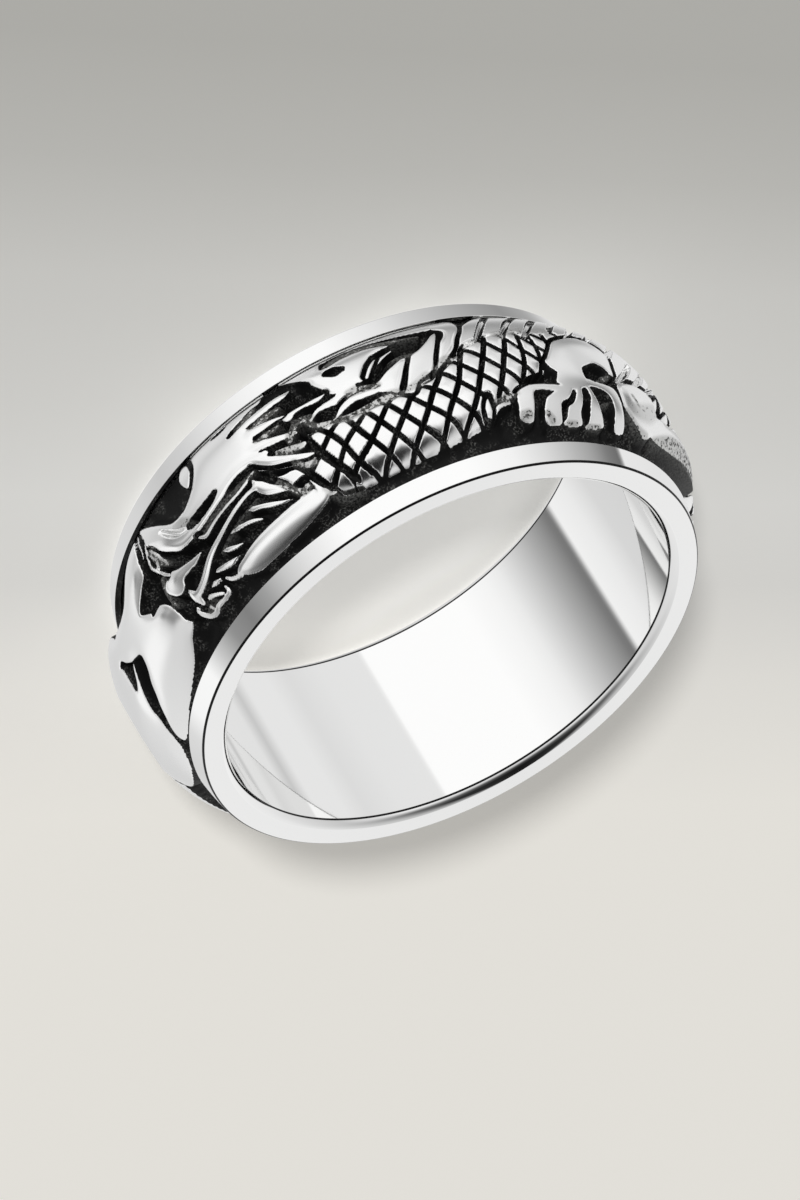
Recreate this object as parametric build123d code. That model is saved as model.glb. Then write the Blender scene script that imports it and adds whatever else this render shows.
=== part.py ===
from build123d import *
import math
import os

# A man's silver spinner ring lying on its back face, in millimetres.
# The origin is the middle of that face and +Z is the front face's normal.
# A plain channel-shaped base band carries a cast dragon band that turns on it.

# Driving dimensions
bore_radius = 9.9          # finger hole, men's size 10
band_width = 9.0           # from back face to front face
bore_bevel = 0.2           # radial width of the bevel at each end of the bore
bore_bevel_depth = 0.33    # length of that bevel along the bore
sleeve_wall = 0.55         # metal between the bore and the channel's floor
rim_width = 0.93           # width of each raised rim
rim_radius = 11.27         # outer radius of a rim beside the dragon band
rim_fall = 0.19            # how much smaller a rim is at the ring's face
rim_edge = 0.06            # fine chamfer between rim and face

# The dragon band runs free in the channel
running_gap = 0.08         # radial gap to the sleeve
side_gap = 0.10            # gap to each rim
dragon_wall = 0.42         # metal under the dark ground of the relief
edge_height = 0.25         # height of the relief at the band's two edges
crown_height = 1.65        # height of the relief in the middle of the band

# Fineness of the faceted relief
steps_around = 240
steps_across = 24
soften_weights = (1, 2, 1)

# Shapes of the relief's sides
dome_power = 3.0           # how flat the domed top is across the band
rope_power = 2.6           # section of a rope: 2 is round, more is squarer
body_power = 4.0
outline_gap = 0.14         # width of the dark line round a form, mm
outline_floor = 0.15       # share of the height that stays in that line

# Scales of the body
scale_length = 1.06        # along the body
scale_height = 1.36        # across the body
scale_groove = 0.16        # half width of the groove between scales
scale_depth = 0.35         # share of the height that a groove takes
scale_offset = 0.11        # place of a crossing across the body, in scales

sleeve_radius = bore_radius + sleeve_wall
dragon_bore = sleeve_radius + running_gap
ground_radius = dragon_bore + dragon_wall
half_width = band_width / 2 - rim_width - side_gap
middle_radius = ground_radius + crown_height / 2

# Every outline and rope is drawn on the band laid flat. Angle is in degrees
# round the ring, and -90 is the middle of the dragon's visible side. Across is
# a share of the band's half width, and + is toward the front face.

# Body from neck to tail. Columns: angle, across, half width (share of the
# band's half width), top (share of the relief's height)
BODY = (
    (-84, 0.26, 0.39, 0.95), (-92, 0.33, 0.43, 0.97), (-102, 0.385, 0.50, 1.0),
    (-112, 0.37, 0.52, 1.0), (-121, 0.22, 0.50, 1.0), (-130, -0.04, 0.46, 1.0),
    (-139, -0.29, 0.45, 1.0), (-148, -0.50, 0.45, 1.0), (-158, -0.60, 0.43, 1.0),
    (-170, -0.55, 0.43, 1.0), (-182, -0.35, 0.45, 1.0), (-193, -0.06, 0.46, 1.0),
    (-204, 0.22, 0.47, 1.0), (-216, 0.40, 0.46, 1.0), (-230, 0.42, 0.43, 1.0),
    (-243, 0.24, 0.40, 1.0), (-255, -0.08, 0.38, 1.0), (-267, -0.36, 0.36, 1.0),
    (-280, -0.50, 0.33, 1.0), (-293, -0.43, 0.30, 1.0), (-304, -0.18, 0.27, 1.0),
    (-314, 0.10, 0.25, 0.98), (-325, 0.30, 0.20, 0.95), (-337, 0.34, 0.14, 0.92),
    (-350, 0.24, 0.06, 0.85),
)

# Ropes: rounded ridges that swell and taper along a smooth line.
# Columns: angle, across, half width (share), top (share)
ROPES = {
    "upper_lip": (
        (-79.5, -0.15, 0.05, 0.92), (-75, -0.14, 0.06, 0.96), (-70, -0.06, 0.06, 0.98),
        (-66, 0.01, 0.06, 0.98), (-62, 0.045, 0.06, 0.98), (-58, 0.02, 0.06, 0.97),
        (-55.4, -0.04, 0.06, 0.96), (-53.2, -0.16, 0.06, 0.95), (-51.4, -0.34, 0.06, 0.93),
        (-49.4, -0.54, 0.06, 0.92), (-47, -0.76, 0.06, 0.90), (-45.2, -0.88, 0.04, 0.8),
    ),
    "jaw": (
        (-80.7, 0.44, 0.05, 0.84), (-78, 0.26, 0.07, 0.88), (-75.6, 0.09, 0.06, 0.86),
        (-72.5, 0.15, 0.05, 0.88), (-68.5, 0.18, 0.05, 0.90), (-64.5, 0.25, 0.05, 0.90),
        (-61, 0.34, 0.05, 0.90), (-58, 0.45, 0.05, 0.90), (-55, 0.53, 0.055, 0.90),
        (-52.6, 0.56, 0.06, 0.90),
    ),
    "jaw_knob": ((-53.8, 0.64, 0.04, 0.82), (-52.3, 0.59, 0.07, 0.92), (-51.4, 0.46, 0.06, 0.88)),
    "chin": ((-57.6, 0.78, 0.05, 0.70), (-54.4, 0.74, 0.07, 0.76), (-51, 0.76, 0.07, 0.74)),
    "tooth_1": ((-79.4, 0.54, 0.03, 0.66), (-76, 0.44, 0.05, 0.76), (-72.2, 0.31, 0.03, 0.62)),
    "tooth_2": ((-72.4, 0.50, 0.03, 0.62), (-70.2, 0.43, 0.04, 0.70), (-67.6, 0.37, 0.03, 0.58)),
    "tooth_3": ((-66.5, 0.54, 0.03, 0.62), (-64.9, 0.49, 0.04, 0.70), (-63.2, 0.45, 0.03, 0.58)),
    "tooth_4": ((-64.8, 0.66, 0.03, 0.66), (-62.2, 0.59, 0.05, 0.76), (-59, 0.53, 0.03, 0.66)),
    "horn_1": (
        (-90.2, -0.745, 0.02, 0.60), (-86, -0.72, 0.08, 0.86), (-81, -0.70, 0.11, 0.92),
        (-75, -0.70, 0.12, 0.92),
    ),
    "horn_2": (
        (-88.6, -0.40, 0.02, 0.64), (-85, -0.46, 0.08, 0.88), (-81, -0.49, 0.10, 0.92),
        (-75, -0.52, 0.12, 0.92),
    ),
    "horn_3": (
        (-88.4, -0.17, 0.02, 0.66), (-85, -0.23, 0.07, 0.88), (-81, -0.29, 0.09, 0.92),
        (-75, -0.34, 0.12, 0.92),
    ),
    "horn_4": ((-86, -0.98, 0.02, 0.55), (-82, -0.93, 0.06, 0.80), (-77, -0.90, 0.10, 0.90)),
    "mane_1": (
        (-88.2, 0.22, 0.02, 0.72), (-85.4, 0.17, 0.07, 0.90), (-82, 0.07, 0.09, 0.95),
        (-78.6, -0.08, 0.08, 0.95),
    ),
    "mane_2": (
        (-84.2, 0.36, 0.02, 0.66), (-82, 0.27, 0.05, 0.84), (-79, 0.14, 0.06, 0.88),
        (-76.4, 0.02, 0.03, 0.84),
    ),
    "mane_3": ((-87.6, 0.60, 0.02, 0.66), (-85.2, 0.54, 0.06, 0.84), (-81.4, 0.42, 0.05, 0.76)),
    "bar_1": (
        (-104, -0.14, 0.06, 0.86), (-100, -0.11, 0.07, 0.92), (-96.6, -0.06, 0.05, 0.88),
        (-94.2, -0.01, 0.02, 0.74),
    ),
    "bar_2": (
        (-103, -0.27, 0.06, 0.84), (-98, -0.25, 0.07, 0.90), (-92, -0.23, 0.05, 0.84),
        (-89.4, -0.25, 0.02, 0.70),
    ),
    "bar_3": ((-96.6, -0.36, 0.05, 0.82), (-92, -0.38, 0.06, 0.88), (-86.6, -0.40, 0.05, 0.84)),
    "fin_1": (
        (-105.8, 0.02, 0.11, 0.97), (-107.2, -0.12, 0.12, 0.95), (-109.2, -0.27, 0.09, 0.90),
        (-111.3, -0.42, 0.02, 0.76),
    ),
    "fin_2": (
        (-111.6, -0.02, 0.12, 0.98), (-114.0, -0.22, 0.15, 0.96), (-116.8, -0.45, 0.12, 0.92),
        (-119.6, -0.70, 0.03, 0.78),
    ),
    "fin_3": (
        (-117.6, -0.18, 0.13, 0.98), (-120.6, -0.40, 0.16, 0.96), (-123.2, -0.66, 0.16, 0.94),
        (-124.8, -0.90, 0.12, 0.86),
    ),
    "fin_bar": (
        (-126, -0.93, 0.05, 0.80), (-112, -0.95, 0.06, 0.92), (-96, -0.99, 0.07, 0.92),
        (-88, -1.0, 0.06, 0.84),
    ),
    "toe_1": (
        (-143, 0.29, 0.10, 0.98), (-138, 0.35, 0.10, 0.98), (-133.4, 0.37, 0.11, 0.98),
        (-130.6, 0.47, 0.11, 0.96), (-129.8, 0.66, 0.09, 0.88),
    ),
    "toe_2": (
        (-143.2, 0.30, 0.08, 0.98), (-140.8, 0.45, 0.09, 0.98), (-138.2, 0.60, 0.10, 0.95),
        (-135.8, 0.77, 0.08, 0.86),
    ),
    "toe_3": (
        (-144.4, 0.32, 0.08, 0.98), (-143.6, 0.52, 0.09, 0.97), (-141.8, 0.68, 0.10, 0.94),
        (-139.4, 0.82, 0.08, 0.86),
    ),
    "toe_4": (
        (-145.6, 0.32, 0.08, 0.98), (-147.7, 0.52, 0.09, 0.97), (-147.9, 0.70, 0.10, 0.94),
        (-145.8, 0.85, 0.08, 0.86),
    ),
    "toe_5": (
        (-146.6, 0.28, 0.08, 0.97), (-151, 0.27, 0.09, 0.97), (-155, 0.38, 0.11, 0.96),
        (-155.8, 0.58, 0.11, 0.95), (-154, 0.82, 0.07, 0.84),
    ),
    "tail_1": (
        (-304, -0.80, 0.03, 0.70), (-314, -0.68, 0.11, 0.88), (-326, -0.42, 0.14, 0.92),
        (-340, -0.14, 0.14, 0.92), (-352, 0.06, 0.12, 0.90), (-364, 0.16, 0.10, 0.86),
    ),
    "tail_2": (
        (-318, -0.95, 0.03, 0.62), (-330, -0.78, 0.10, 0.84), (-344, -0.54, 0.14, 0.90),
        (-358, -0.30, 0.15, 0.90), (-374, -0.14, 0.14, 0.88),
    ),
    "tail_3": (
        (-336, -0.97, 0.03, 0.60), (-350, -0.84, 0.09, 0.80), (-364, -0.64, 0.13, 0.86),
        (-380, -0.46, 0.12, 0.86),
    ),
    "tail_4": (
        (-322, 0.74, 0.03, 0.66), (-334, 0.70, 0.10, 0.86), (-348, 0.58, 0.14, 0.90),
        (-362, 0.50, 0.14, 0.90),
    ),
    "cloud": (
        (-176, 0.30, 0.04, 0.70), (-183, 0.40, 0.09, 0.86), (-190, 0.60, 0.10, 0.86),
        (-189, 0.80, 0.08, 0.82), (-182, 0.82, 0.07, 0.80), (-179, 0.66, 0.05, 0.76),
    ),
}

# Pads: smooth raised forms inside a closed outline.
# Columns: angle, across
PADS = {
    "skull": (
        (-79.5, -0.16), (-74, -0.15), (-68, -0.04), (-62, 0.0), (-59.6, -0.12), (-60.4, -0.34),
        (-63.6, -0.56), (-65.2, -0.76), (-64.6, -0.98), (-72, -1.02), (-80, -1.0), (-81, -0.74),
        (-80.6, -0.50), (-80.8, -0.30),
    ),
    "muzzle": (
        (-60, 0.03), (-57, 0.05), (-54.4, 0.0), (-52.6, -0.12), (-51.2, -0.30), (-49.6, -0.50),
        (-47.8, -0.68), (-45.4, -0.88), (-47.6, -0.86), (-50, -0.76), (-52.6, -0.62),
        (-55.2, -0.47), (-57.6, -0.34), (-60, -0.24),
    ),
    "cheek": (
        (-86.8, 0.73), (-83, 0.87), (-76, 0.94), (-67, 0.95), (-62.6, 0.80), (-64.5, 0.70),
        (-70, 0.615), (-77, 0.585), (-83.2, 0.545), (-85.4, 0.64),
    ),
    "tongue": (
        (-59, 0.25), (-56, 0.27), (-53, 0.28), (-51, 0.37), (-49, 0.39), (-47, 0.31),
        (-46.8, 0.18), (-48.2, 0.07), (-50.5, 0.06), (-53, 0.13), (-56, 0.19),
    ),
    "flame": (
        (-39.5, 0.91), (-30, 0.97), (-22, 0.98), (-17, 0.90), (-16.4, 0.80), (-18.5, 0.71),
        (-21, 0.62), (-23.6, 0.50), (-26, 0.39), (-29.4, 0.28), (-29.8, 0.15), (-26.5, 0.07),
        (-24.6, 0.01), (-22.5, -0.10), (-18.5, -0.26), (-13, -0.44), (-16, -0.66),
        (-22, -0.62), (-27, -0.48), (-31.5, -0.415), (-34.5, -0.52), (-36.5, -0.72),
        (-40, -0.86), (-45.6, -0.86), (-44.8, -0.50), (-41.6, -0.21), (-38.4, -0.02),
        (-40.6, 0.18), (-43.4, 0.13), (-45.8, 0.28), (-46.9, 0.50), (-47.6, 0.63), (-43.5, 0.75),
    ),
    "flame_fork": (
        (-19.5, 0.60), (-17, 0.72), (-13.5, 0.84), (-9, 0.93), (-2, 0.95), (5, 0.78), (4, 0.48),
        (-3, 0.30), (-9, 0.10), (-14, 0.00), (-19, 0.10), (-24.6, 0.045), (-21.5, 0.30),
    ),
    "palm": (
        (-148.2, 0.20), (-147.6, 0.04), (-150, -0.08), (-154.8, -0.22), (-154, -0.38),
        (-150.4, -0.48), (-146, -0.40), (-142.6, -0.24), (-140.6, -0.02), (-139.6, 0.17),
        (-140.4, 0.31), (-144.5, 0.37), (-148, 0.32),
    ),
    "elbow": (
        (-172, 0.12), (-168.5, 0.46), (-165.4, 0.71), (-161.3, 0.83), (-159.6, 0.69),
        (-158, 0.38), (-158.4, 0.15), (-163, 0.08), (-168, 0.06),
    ),
    "limb": (
        (-101, -0.34), (-97.4, -0.30), (-95.4, -0.40), (-94, -0.58), (-92.4, -0.76),
        (-90, -0.92), (-88.5, -1.0), (-97, -1.0), (-96.8, -0.82), (-99.5, -0.86),
        (-104, -0.87), (-108, -0.82), (-112, -0.70), (-107.4, -0.64), (-104.8, -0.56),
        (-103.2, -0.44),
    ),
}

# Height (share of the relief's), and width of the rounded edge and puffed
# middle (shares of the band's half width), of each pad
PAD_SHAPE = {
    "skull": (0.90, 0.10), "muzzle": (0.86, 0.08), "cheek": (0.88, 0.12),
    "tongue": (0.84, 0.08), "flame": (0.84, 0.10), "flame_fork": (0.78, 0.10),
    "palm": (0.98, 0.10), "elbow": (0.84, 0.10), "limb": (0.92, 0.08),
}

# Hollows cut into the forms. Columns: angle, across, half width, depth (share)
CUTS = {
    "brow": ((-67.2, -0.17, 0.03, 0.5), (-64, -0.11, 0.05, 0.7), (-60.2, -0.09, 0.04, 0.6)),
    "limb_eye": ((-99.8, -0.61, 0.03, 0.8), (-98.6, -0.70, 0.06, 0.9), (-97.4, -0.77, 0.03, 0.8)),
    "palm_hole": ((-154.6, 0.11, 0.07, 0.8), (-152, 0.10, 0.12, 0.95), (-149.6, 0.12, 0.07, 0.8)),
    "neck": ((-86.3, 0.66, 0.03, 0.7), (-88.2, 0.20, 0.04, 0.8), (-86, -0.22, 0.03, 0.7)),
}

# The forms in the order in which they lie on each other. Columns: turn of the
# group round the ring in degrees, and the forms that are joined in it
LAYERS = (
    (0, ("fin_3",)), (0, ("fin_2",)), (0, ("fin_1",)),
    (0, ("limb", "fin_bar")), (0, ("bar_3",)), (0, ("bar_2",)), (0, ("bar_1",)),
    (-95, ("fin_3",)), (-95, ("fin_2",)), (-95, ("fin_1",)),
    (-95, ("limb", "fin_bar")), (-95, ("bar_3",)), (-95, ("bar_2",)), (-95, ("bar_1",)),
    (-125, ("fin_3",)), (-125, ("fin_2",)),
    (0, ("elbow",)), (0, ("palm", "toe_1", "toe_2", "toe_3", "toe_4", "toe_5")), (0, ("palm_hole",)),
    (0, ("cloud",)), (-124, ("cloud",)),
    (-124, ("elbow",)), (-124, ("palm", "toe_1", "toe_2", "toe_3", "toe_4", "toe_5")),
    (-124, ("palm_hole",)), (0, ("limb_eye",)), (-95, ("limb_eye",)),
    (0, ("neck",)), (0, ("mane_3",)), (0, ("mane_2",)), (0, ("mane_1",)),
    (0, ("cheek",)), (0, ("tooth_1",)), (0, ("tooth_2",)), (0, ("tooth_3",)), (0, ("tooth_4",)),
    (0, ("skull", "muzzle", "upper_lip", "horn_1", "horn_2", "horn_3", "horn_4")),
    (0, ("brow",)), (0, ("chin",)), (0, ("tongue",)), (0, ("jaw", "jaw_knob")),
    (0, ("tail_3",)), (0, ("tail_2",)), (0, ("tail_1",)), (0, ("tail_4",)),
    (0, ("flame", "flame_fork")),
)


def smooth_line(rows, closed, pieces=5):
    """Points on a smooth line through the rows, with every column carried along."""
    count = len(rows)
    spans = count if closed else count - 1
    points = []
    for i in range(spans):
        if closed:
            a, b, c, d = (rows[(i + k) % count] for k in (-1, 0, 1, 2))
        else:
            b, c = rows[i], rows[i + 1]
            a = rows[i - 1] if i else b
            d = rows[i + 2] if i + 2 < count else c
        for k in range(pieces):
            t = k / pieces
            weights = (
                t * (t * (2 - t) - 1) / 2,
                (t * t * (3 * t - 5) + 2) / 2,
                t * (t * (4 - 3 * t) + 1) / 2,
                t * t * (t - 1) / 2,
            )
            points.append(tuple(
                sum(w * v for w, v in zip(weights, column)) for column in zip(a, b, c, d)
            ))
    points.append(rows[0] if closed else rows[-1])
    return points


def laid_flat(points):
    """Millimetres on the band laid flat, with the widths in millimetres too."""
    turn = math.radians(middle_radius)
    flat = []
    for row in points:
        width = row[2] * half_width if len(row) > 2 else 0.0
        top = row[3] if len(row) > 3 else 0.0
        flat.append((row[0] * turn, row[1] * half_width, width, top))
    return flat


def nearest(x, y, line):
    """Distance to the line, side, run along it, and its width and top there."""
    best = (1e9, 0, 0, 0, 0)
    run = 0.0
    for (ax, ay, aw, at), (bx, by, bw, bt) in zip(line, line[1:]):
        dx, dy = bx - ax, by - ay
        length = math.hypot(dx, dy) or 1e-9
        t = max(0.0, min(1.0, ((x - ax) * dx + (y - ay) * dy) / length ** 2))
        distance = math.hypot(x - ax - t * dx, y - ay - t * dy)
        if distance < best[0]:
            side = math.copysign(1, (x - ax) * dy - (y - ay) * dx)
            best = (distance, side, run + t * length, aw + (bw - aw) * t, at + (bt - at) * t)
        run += length
    return best


def is_inside(x, y, line):
    inside = False
    for (ax, ay, *_), (bx, by, *_) in zip(line, line[1:]):
        if (ay > y) != (by > y) and x < (bx - ax) * (y - ay) / (by - ay) + ax:
            inside = not inside
    return inside


def eased(value):
    value = max(0.0, min(1.0, value))
    return value * value * (3 - 2 * value)


def rope_at(x, y, line):
    """Height share of a rope and the distance outside it."""
    distance, _, _, width, top = nearest(x, y, line)
    share = min(1.0, distance / max(width, 1e-6))
    return top * math.sqrt(1 - share ** rope_power), distance - width


def pad_at(x, y, line, name):
    """Height share of a pad and the distance outside it."""
    distance = nearest(x, y, line)[0]
    if not is_inside(x, y, line):
        return 0.0, distance
    top, bevel = PAD_SHAPE[name]
    share = min(1.0, distance / (bevel * half_width))
    puff = (1 - top) * eased(distance / (3 * bevel * half_width))
    return top * math.sqrt(1 - (1 - share) ** 2) + puff, -distance


def body_at(x, y, line):
    """Height share of the scaly body."""
    distance, side, run, width, top = nearest(x, y, line)
    if distance >= width:
        return 0.0
    along = run / scale_length
    across = side * distance / scale_height + scale_offset
    slope = math.hypot(1 / scale_length, 1 / scale_height)
    groove = min(abs(v - round(v)) for v in (along + across, along - across)) / slope
    height = top * math.sqrt(1 - (distance / width) ** body_power)
    return height * (1 - scale_depth * (1 - eased(groove / scale_groove)))


class Form:
    """One form of the relief, turned to its place, with the box that it reaches."""

    def __init__(self, name, turn):
        table = next(t for t in (ROPES, PADS, CUTS) if name in t)
        rows = [(row[0] + turn,) + row[1:] for row in table[name]]
        self.name = name
        self.kind = {id(ROPES): "rope", id(PADS): "pad", id(CUTS): "cut"}[id(table)]
        self.line = laid_flat(smooth_line(rows, self.kind == "pad"))
        reach = max(p[2] for p in self.line) + outline_gap
        self.low = min(p[0] for p in self.line) - reach, min(p[1] for p in self.line) - reach
        self.high = max(p[0] for p in self.line) + reach, max(p[1] for p in self.line) + reach

    def at(self, x, y):
        """Height share and distance outside, or nothing out of reach."""
        whole = 2 * math.pi * middle_radius
        middle = (self.low[0] + self.high[0]) / 2
        x = middle + (x - middle + whole / 2) % whole - whole / 2
        if not (self.low[0] < x < self.high[0] and self.low[1] < y < self.high[1]):
            return None
        if self.kind == "pad":
            return pad_at(x, y, self.line, self.name)
        return rope_at(x, y, self.line)


def height_share(x, y, body_line, layers):
    """Height of the relief at a point of the flat band, as a share of the dome."""
    whole = 2 * math.pi * middle_radius
    middle = (body_line[0][0] + body_line[-1][0]) / 2
    level = body_at(middle + (x - middle + whole / 2) % whole - whole / 2, y, body_line)
    for forms in layers:
        found = [form.at(x, y) for form in forms]
        found = [f for f in found if f]
        if not found:
            continue
        top = max(f[0] for f in found)
        gap = min(f[1] for f in found)
        if forms[0].kind == "cut":
            level *= 1 - min(1.0, 1.6 * top)
        elif gap < 0:
            level = max(top, level * outline_floor)
        else:
            level *= outline_floor + (1 - outline_floor) * eased(gap / outline_gap)
    return level


def dome_height(across):
    """Height of the domed top over the ground at a share of the half width."""
    return edge_height + (crown_height - edge_height) * (1 - abs(across) ** dome_power)


def share_grid():
    """Height shares at half the steps, rows round the ring, columns across it."""
    body_line = laid_flat(smooth_line(BODY, False))
    layers = [[Form(name, turn) for name in names] for turn, names in LAYERS]
    whole = 2 * math.pi * middle_radius
    return [
        [
            height_share(
                whole * i / (2 * steps_around), half_width * (j / steps_across - 1), body_line, layers
            )
            for j in range(2 * steps_across + 1)
        ]
        for i in range(2 * steps_around)
    ]


def softened(shares, i, j):
    """Mean height share round a point, so that a slanting edge has no stairs."""
    total = 0.0
    weight = 0.0
    for di, wi in zip((-1, 0, 1), soften_weights):
        row = shares[(2 * i + di) % len(shares)]
        for dj, wj in zip((-1, 0, 1), soften_weights):
            if 0 <= 2 * j + dj < len(row):
                total += wi * wj * row[2 * j + dj]
                weight += wi * wj
    return total / weight


def relief_points():
    """Rows of points on the dragon band's outer face, from the back edge to the front."""
    shares = share_grid()
    rows = []
    for i in range(steps_around):
        angle = 2 * math.pi * i / steps_around
        row = []
        for j in range(steps_across + 1):
            across = 2 * j / steps_across - 1
            radius = ground_radius + dome_height(across) * softened(shares, i, j)
            z = band_width / 2 + across * half_width
            row.append(Vector(radius * math.cos(angle), radius * math.sin(angle), z))
        rows.append(row)
    return rows


def relief_faces(points):
    """Flat faces between the points, one for each flat cell and two for any other."""
    faces = []
    for i in range(steps_around):
        here, there = points[i], points[(i + 1) % steps_around]
        for j in range(steps_across):
            a, b, c, d = here[j], there[j], there[j + 1], here[j + 1]
            if abs((b - a).cross(d - a).dot(c - a)) < 1e-9:
                faces.append(Face(Wire.make_polygon([a, b, c, d])))
            elif (a - c).length < (b - d).length:
                faces.append(Face(Wire.make_polygon([a, b, c])))
                faces.append(Face(Wire.make_polygon([a, c, d])))
            else:
                faces.append(Face(Wire.make_polygon([a, b, d])))
                faces.append(Face(Wire.make_polygon([b, c, d])))
    return faces


def make_base_band():
    """Sleeve with a soldered rim at each end, turned from one section."""
    top = band_width
    face_radius = rim_radius - rim_fall
    section = Polyline(
        (bore_radius, bore_bevel_depth),
        (bore_radius + bore_bevel, 0),
        (face_radius - rim_edge, 0),
        (face_radius, rim_edge),
        (rim_radius, rim_width),
        (sleeve_radius, rim_width),
        (sleeve_radius, top - rim_width),
        (rim_radius, top - rim_width),
        (face_radius, top - rim_edge),
        (face_radius - rim_edge, top),
        (bore_radius + bore_bevel, top),
        (bore_radius, top - bore_bevel_depth),
        close=True,
    )
    return revolve(make_face(Plane.XZ * section), Axis.Z)


def make_dragon_band():
    """Cast band with the dragon in relief, closed by its two sides and its bore."""
    points = relief_points()
    faces = relief_faces(points)
    low = band_width / 2 - half_width
    for j, z in ((0, low), (steps_across, low + 2 * half_width)):
        outline = Wire.make_polygon([row[j] for row in points])
        hole = Wire.make_circle(dragon_bore, Plane((0, 0, z)))
        faces.append(Face(outline, [hole]))
    core = Solid.make_cylinder(dragon_bore, 2 * half_width, Plane((0, 0, low)))
    faces += core.faces().filter_by(GeomType.CYLINDER)
    return Solid(Shell(faces))


os.makedirs("parts", exist_ok=True)
export_step(make_base_band(), "parts/base_band.step")
export_step(make_dragon_band(), "parts/dragon_band.step")
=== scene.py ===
import math

import bpy
import numpy as np
from bpy.props import FloatProperty, FloatVectorProperty, IntProperty, PointerProperty
from mathutils import Matrix, Vector


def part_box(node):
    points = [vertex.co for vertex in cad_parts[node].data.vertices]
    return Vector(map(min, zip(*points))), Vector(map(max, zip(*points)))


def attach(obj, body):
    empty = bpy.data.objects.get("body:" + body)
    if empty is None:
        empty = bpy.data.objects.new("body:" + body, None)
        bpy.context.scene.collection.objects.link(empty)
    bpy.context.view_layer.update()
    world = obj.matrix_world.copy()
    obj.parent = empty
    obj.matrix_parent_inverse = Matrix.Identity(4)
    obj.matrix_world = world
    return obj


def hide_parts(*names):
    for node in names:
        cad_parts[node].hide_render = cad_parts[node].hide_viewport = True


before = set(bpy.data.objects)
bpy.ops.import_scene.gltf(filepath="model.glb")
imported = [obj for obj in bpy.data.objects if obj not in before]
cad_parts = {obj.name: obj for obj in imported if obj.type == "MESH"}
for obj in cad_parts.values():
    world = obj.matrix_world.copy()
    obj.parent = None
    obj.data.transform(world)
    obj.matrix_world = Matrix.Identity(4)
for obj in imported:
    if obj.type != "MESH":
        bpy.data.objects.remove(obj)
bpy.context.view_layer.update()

bl_info = {
    "name": "Dragon Spinner Ring",
    "version": (1, 0, 0),
    "blender": (4, 5, 0),
    "location": "View3D > Sidebar > Dragon Ring",
    "description": "Dresses a silver spinner ring: a polished base band and a cast dragon band",
    "category": "Object",
}

# The frame's own sizes, in metres. The ring lies on its back face at z = 0.
base_low, base_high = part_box("base_band")
dragon_low, dragon_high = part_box("dragon_band")
middle_height = (dragon_low.z + dragon_high.z) / 2

MM = 0.001                 # the relief is drawn in millimetres

# Every form of the relief is drawn on the band laid flat. Angle is in degrees
# round the ring, and -90 faces the camera. Across is a share of the band's
# half width, and + is toward the front face. Tops and depths are shares of the
# relief's height, and half widths are shares of the band's half width.

# The snaking body. Columns: angle, across, half width (share), top (share)
BODY = (
    (-81, 0.22, 0.36, 0.95), (-86, 0.28, 0.42, 0.97), (-92, 0.36, 0.45, 0.98),
    (-99, 0.40, 0.42, 1.0), (-108, 0.39, 0.42, 1.0), (-115, 0.33, 0.42, 1.0),
    (-121, 0.20, 0.47, 1.0), (-127, 0.00, 0.49, 1.0), (-134, -0.21, 0.50, 1.0),
    (-142, -0.42, 0.52, 1.0), (-150, -0.56, 0.50, 1.0), (-160, -0.62, 0.46, 1.0),
    (-171, -0.55, 0.43, 1.0), (-182, -0.35, 0.45, 1.0), (-193, -0.06, 0.46, 1.0),
    (-204, 0.22, 0.47, 1.0), (-216, 0.40, 0.46, 1.0), (-230, 0.42, 0.43, 1.0),
    (-243, 0.24, 0.40, 1.0), (-255, -0.08, 0.38, 1.0), (-267, -0.36, 0.36, 1.0),
    (-280, -0.50, 0.33, 1.0), (-293, -0.43, 0.30, 1.0), (-304, -0.18, 0.27, 1.0),
    (-314, 0.10, 0.25, 0.98), (-325, 0.30, 0.20, 0.95), (-337, 0.34, 0.14, 0.92),
    (-350, 0.24, 0.06, 0.85),
)

# The line that the rows of scales follow; far round the ring it is the body's.
# Columns: angle, across, length of the scales on the way there (millimetres)
SCALE_LENGTH = 1.04442
SCALE_LINE = (
    (-80, -0.06, SCALE_LENGTH), (-84, 0.02, 1.222), (-89, 0.1, 1.13), (-94, 0.17, 1.065),
    (-98.4, 0.265, 1.001), (-103.8, 0.33, 0.936), (-109, 0.365, 0.998), (-114, 0.36, SCALE_LENGTH),
    (-119, 0.365, SCALE_LENGTH), (-124, 0.345, SCALE_LENGTH), (-130, 0.32, SCALE_LENGTH),
    (-136, 0.28, SCALE_LENGTH), (-142, 0.18, SCALE_LENGTH), (-149, -0.02, SCALE_LENGTH),
    (-157, -0.27, SCALE_LENGTH), (-168, -0.45, SCALE_LENGTH),
    *((angle, across, SCALE_LENGTH) for angle, across, *_ in BODY if angle < -180),
)
SCALE_START = 0.27         # share of a scale that has passed at its first point

# Below this line the belly has no scales, only long grooves. Columns: angle, across
BELLY_LINE = (
    (-176, -1.1), (-172, 0.0), (-160, 0.1), (-157.5, -0.45), (-146, -0.50), (-141, -0.42),
    (-135, -0.46), (-128, -0.43), (-124, -0.37), (-121, -0.27), (-118.8, -0.25), (-118, -1.1),
)

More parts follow.
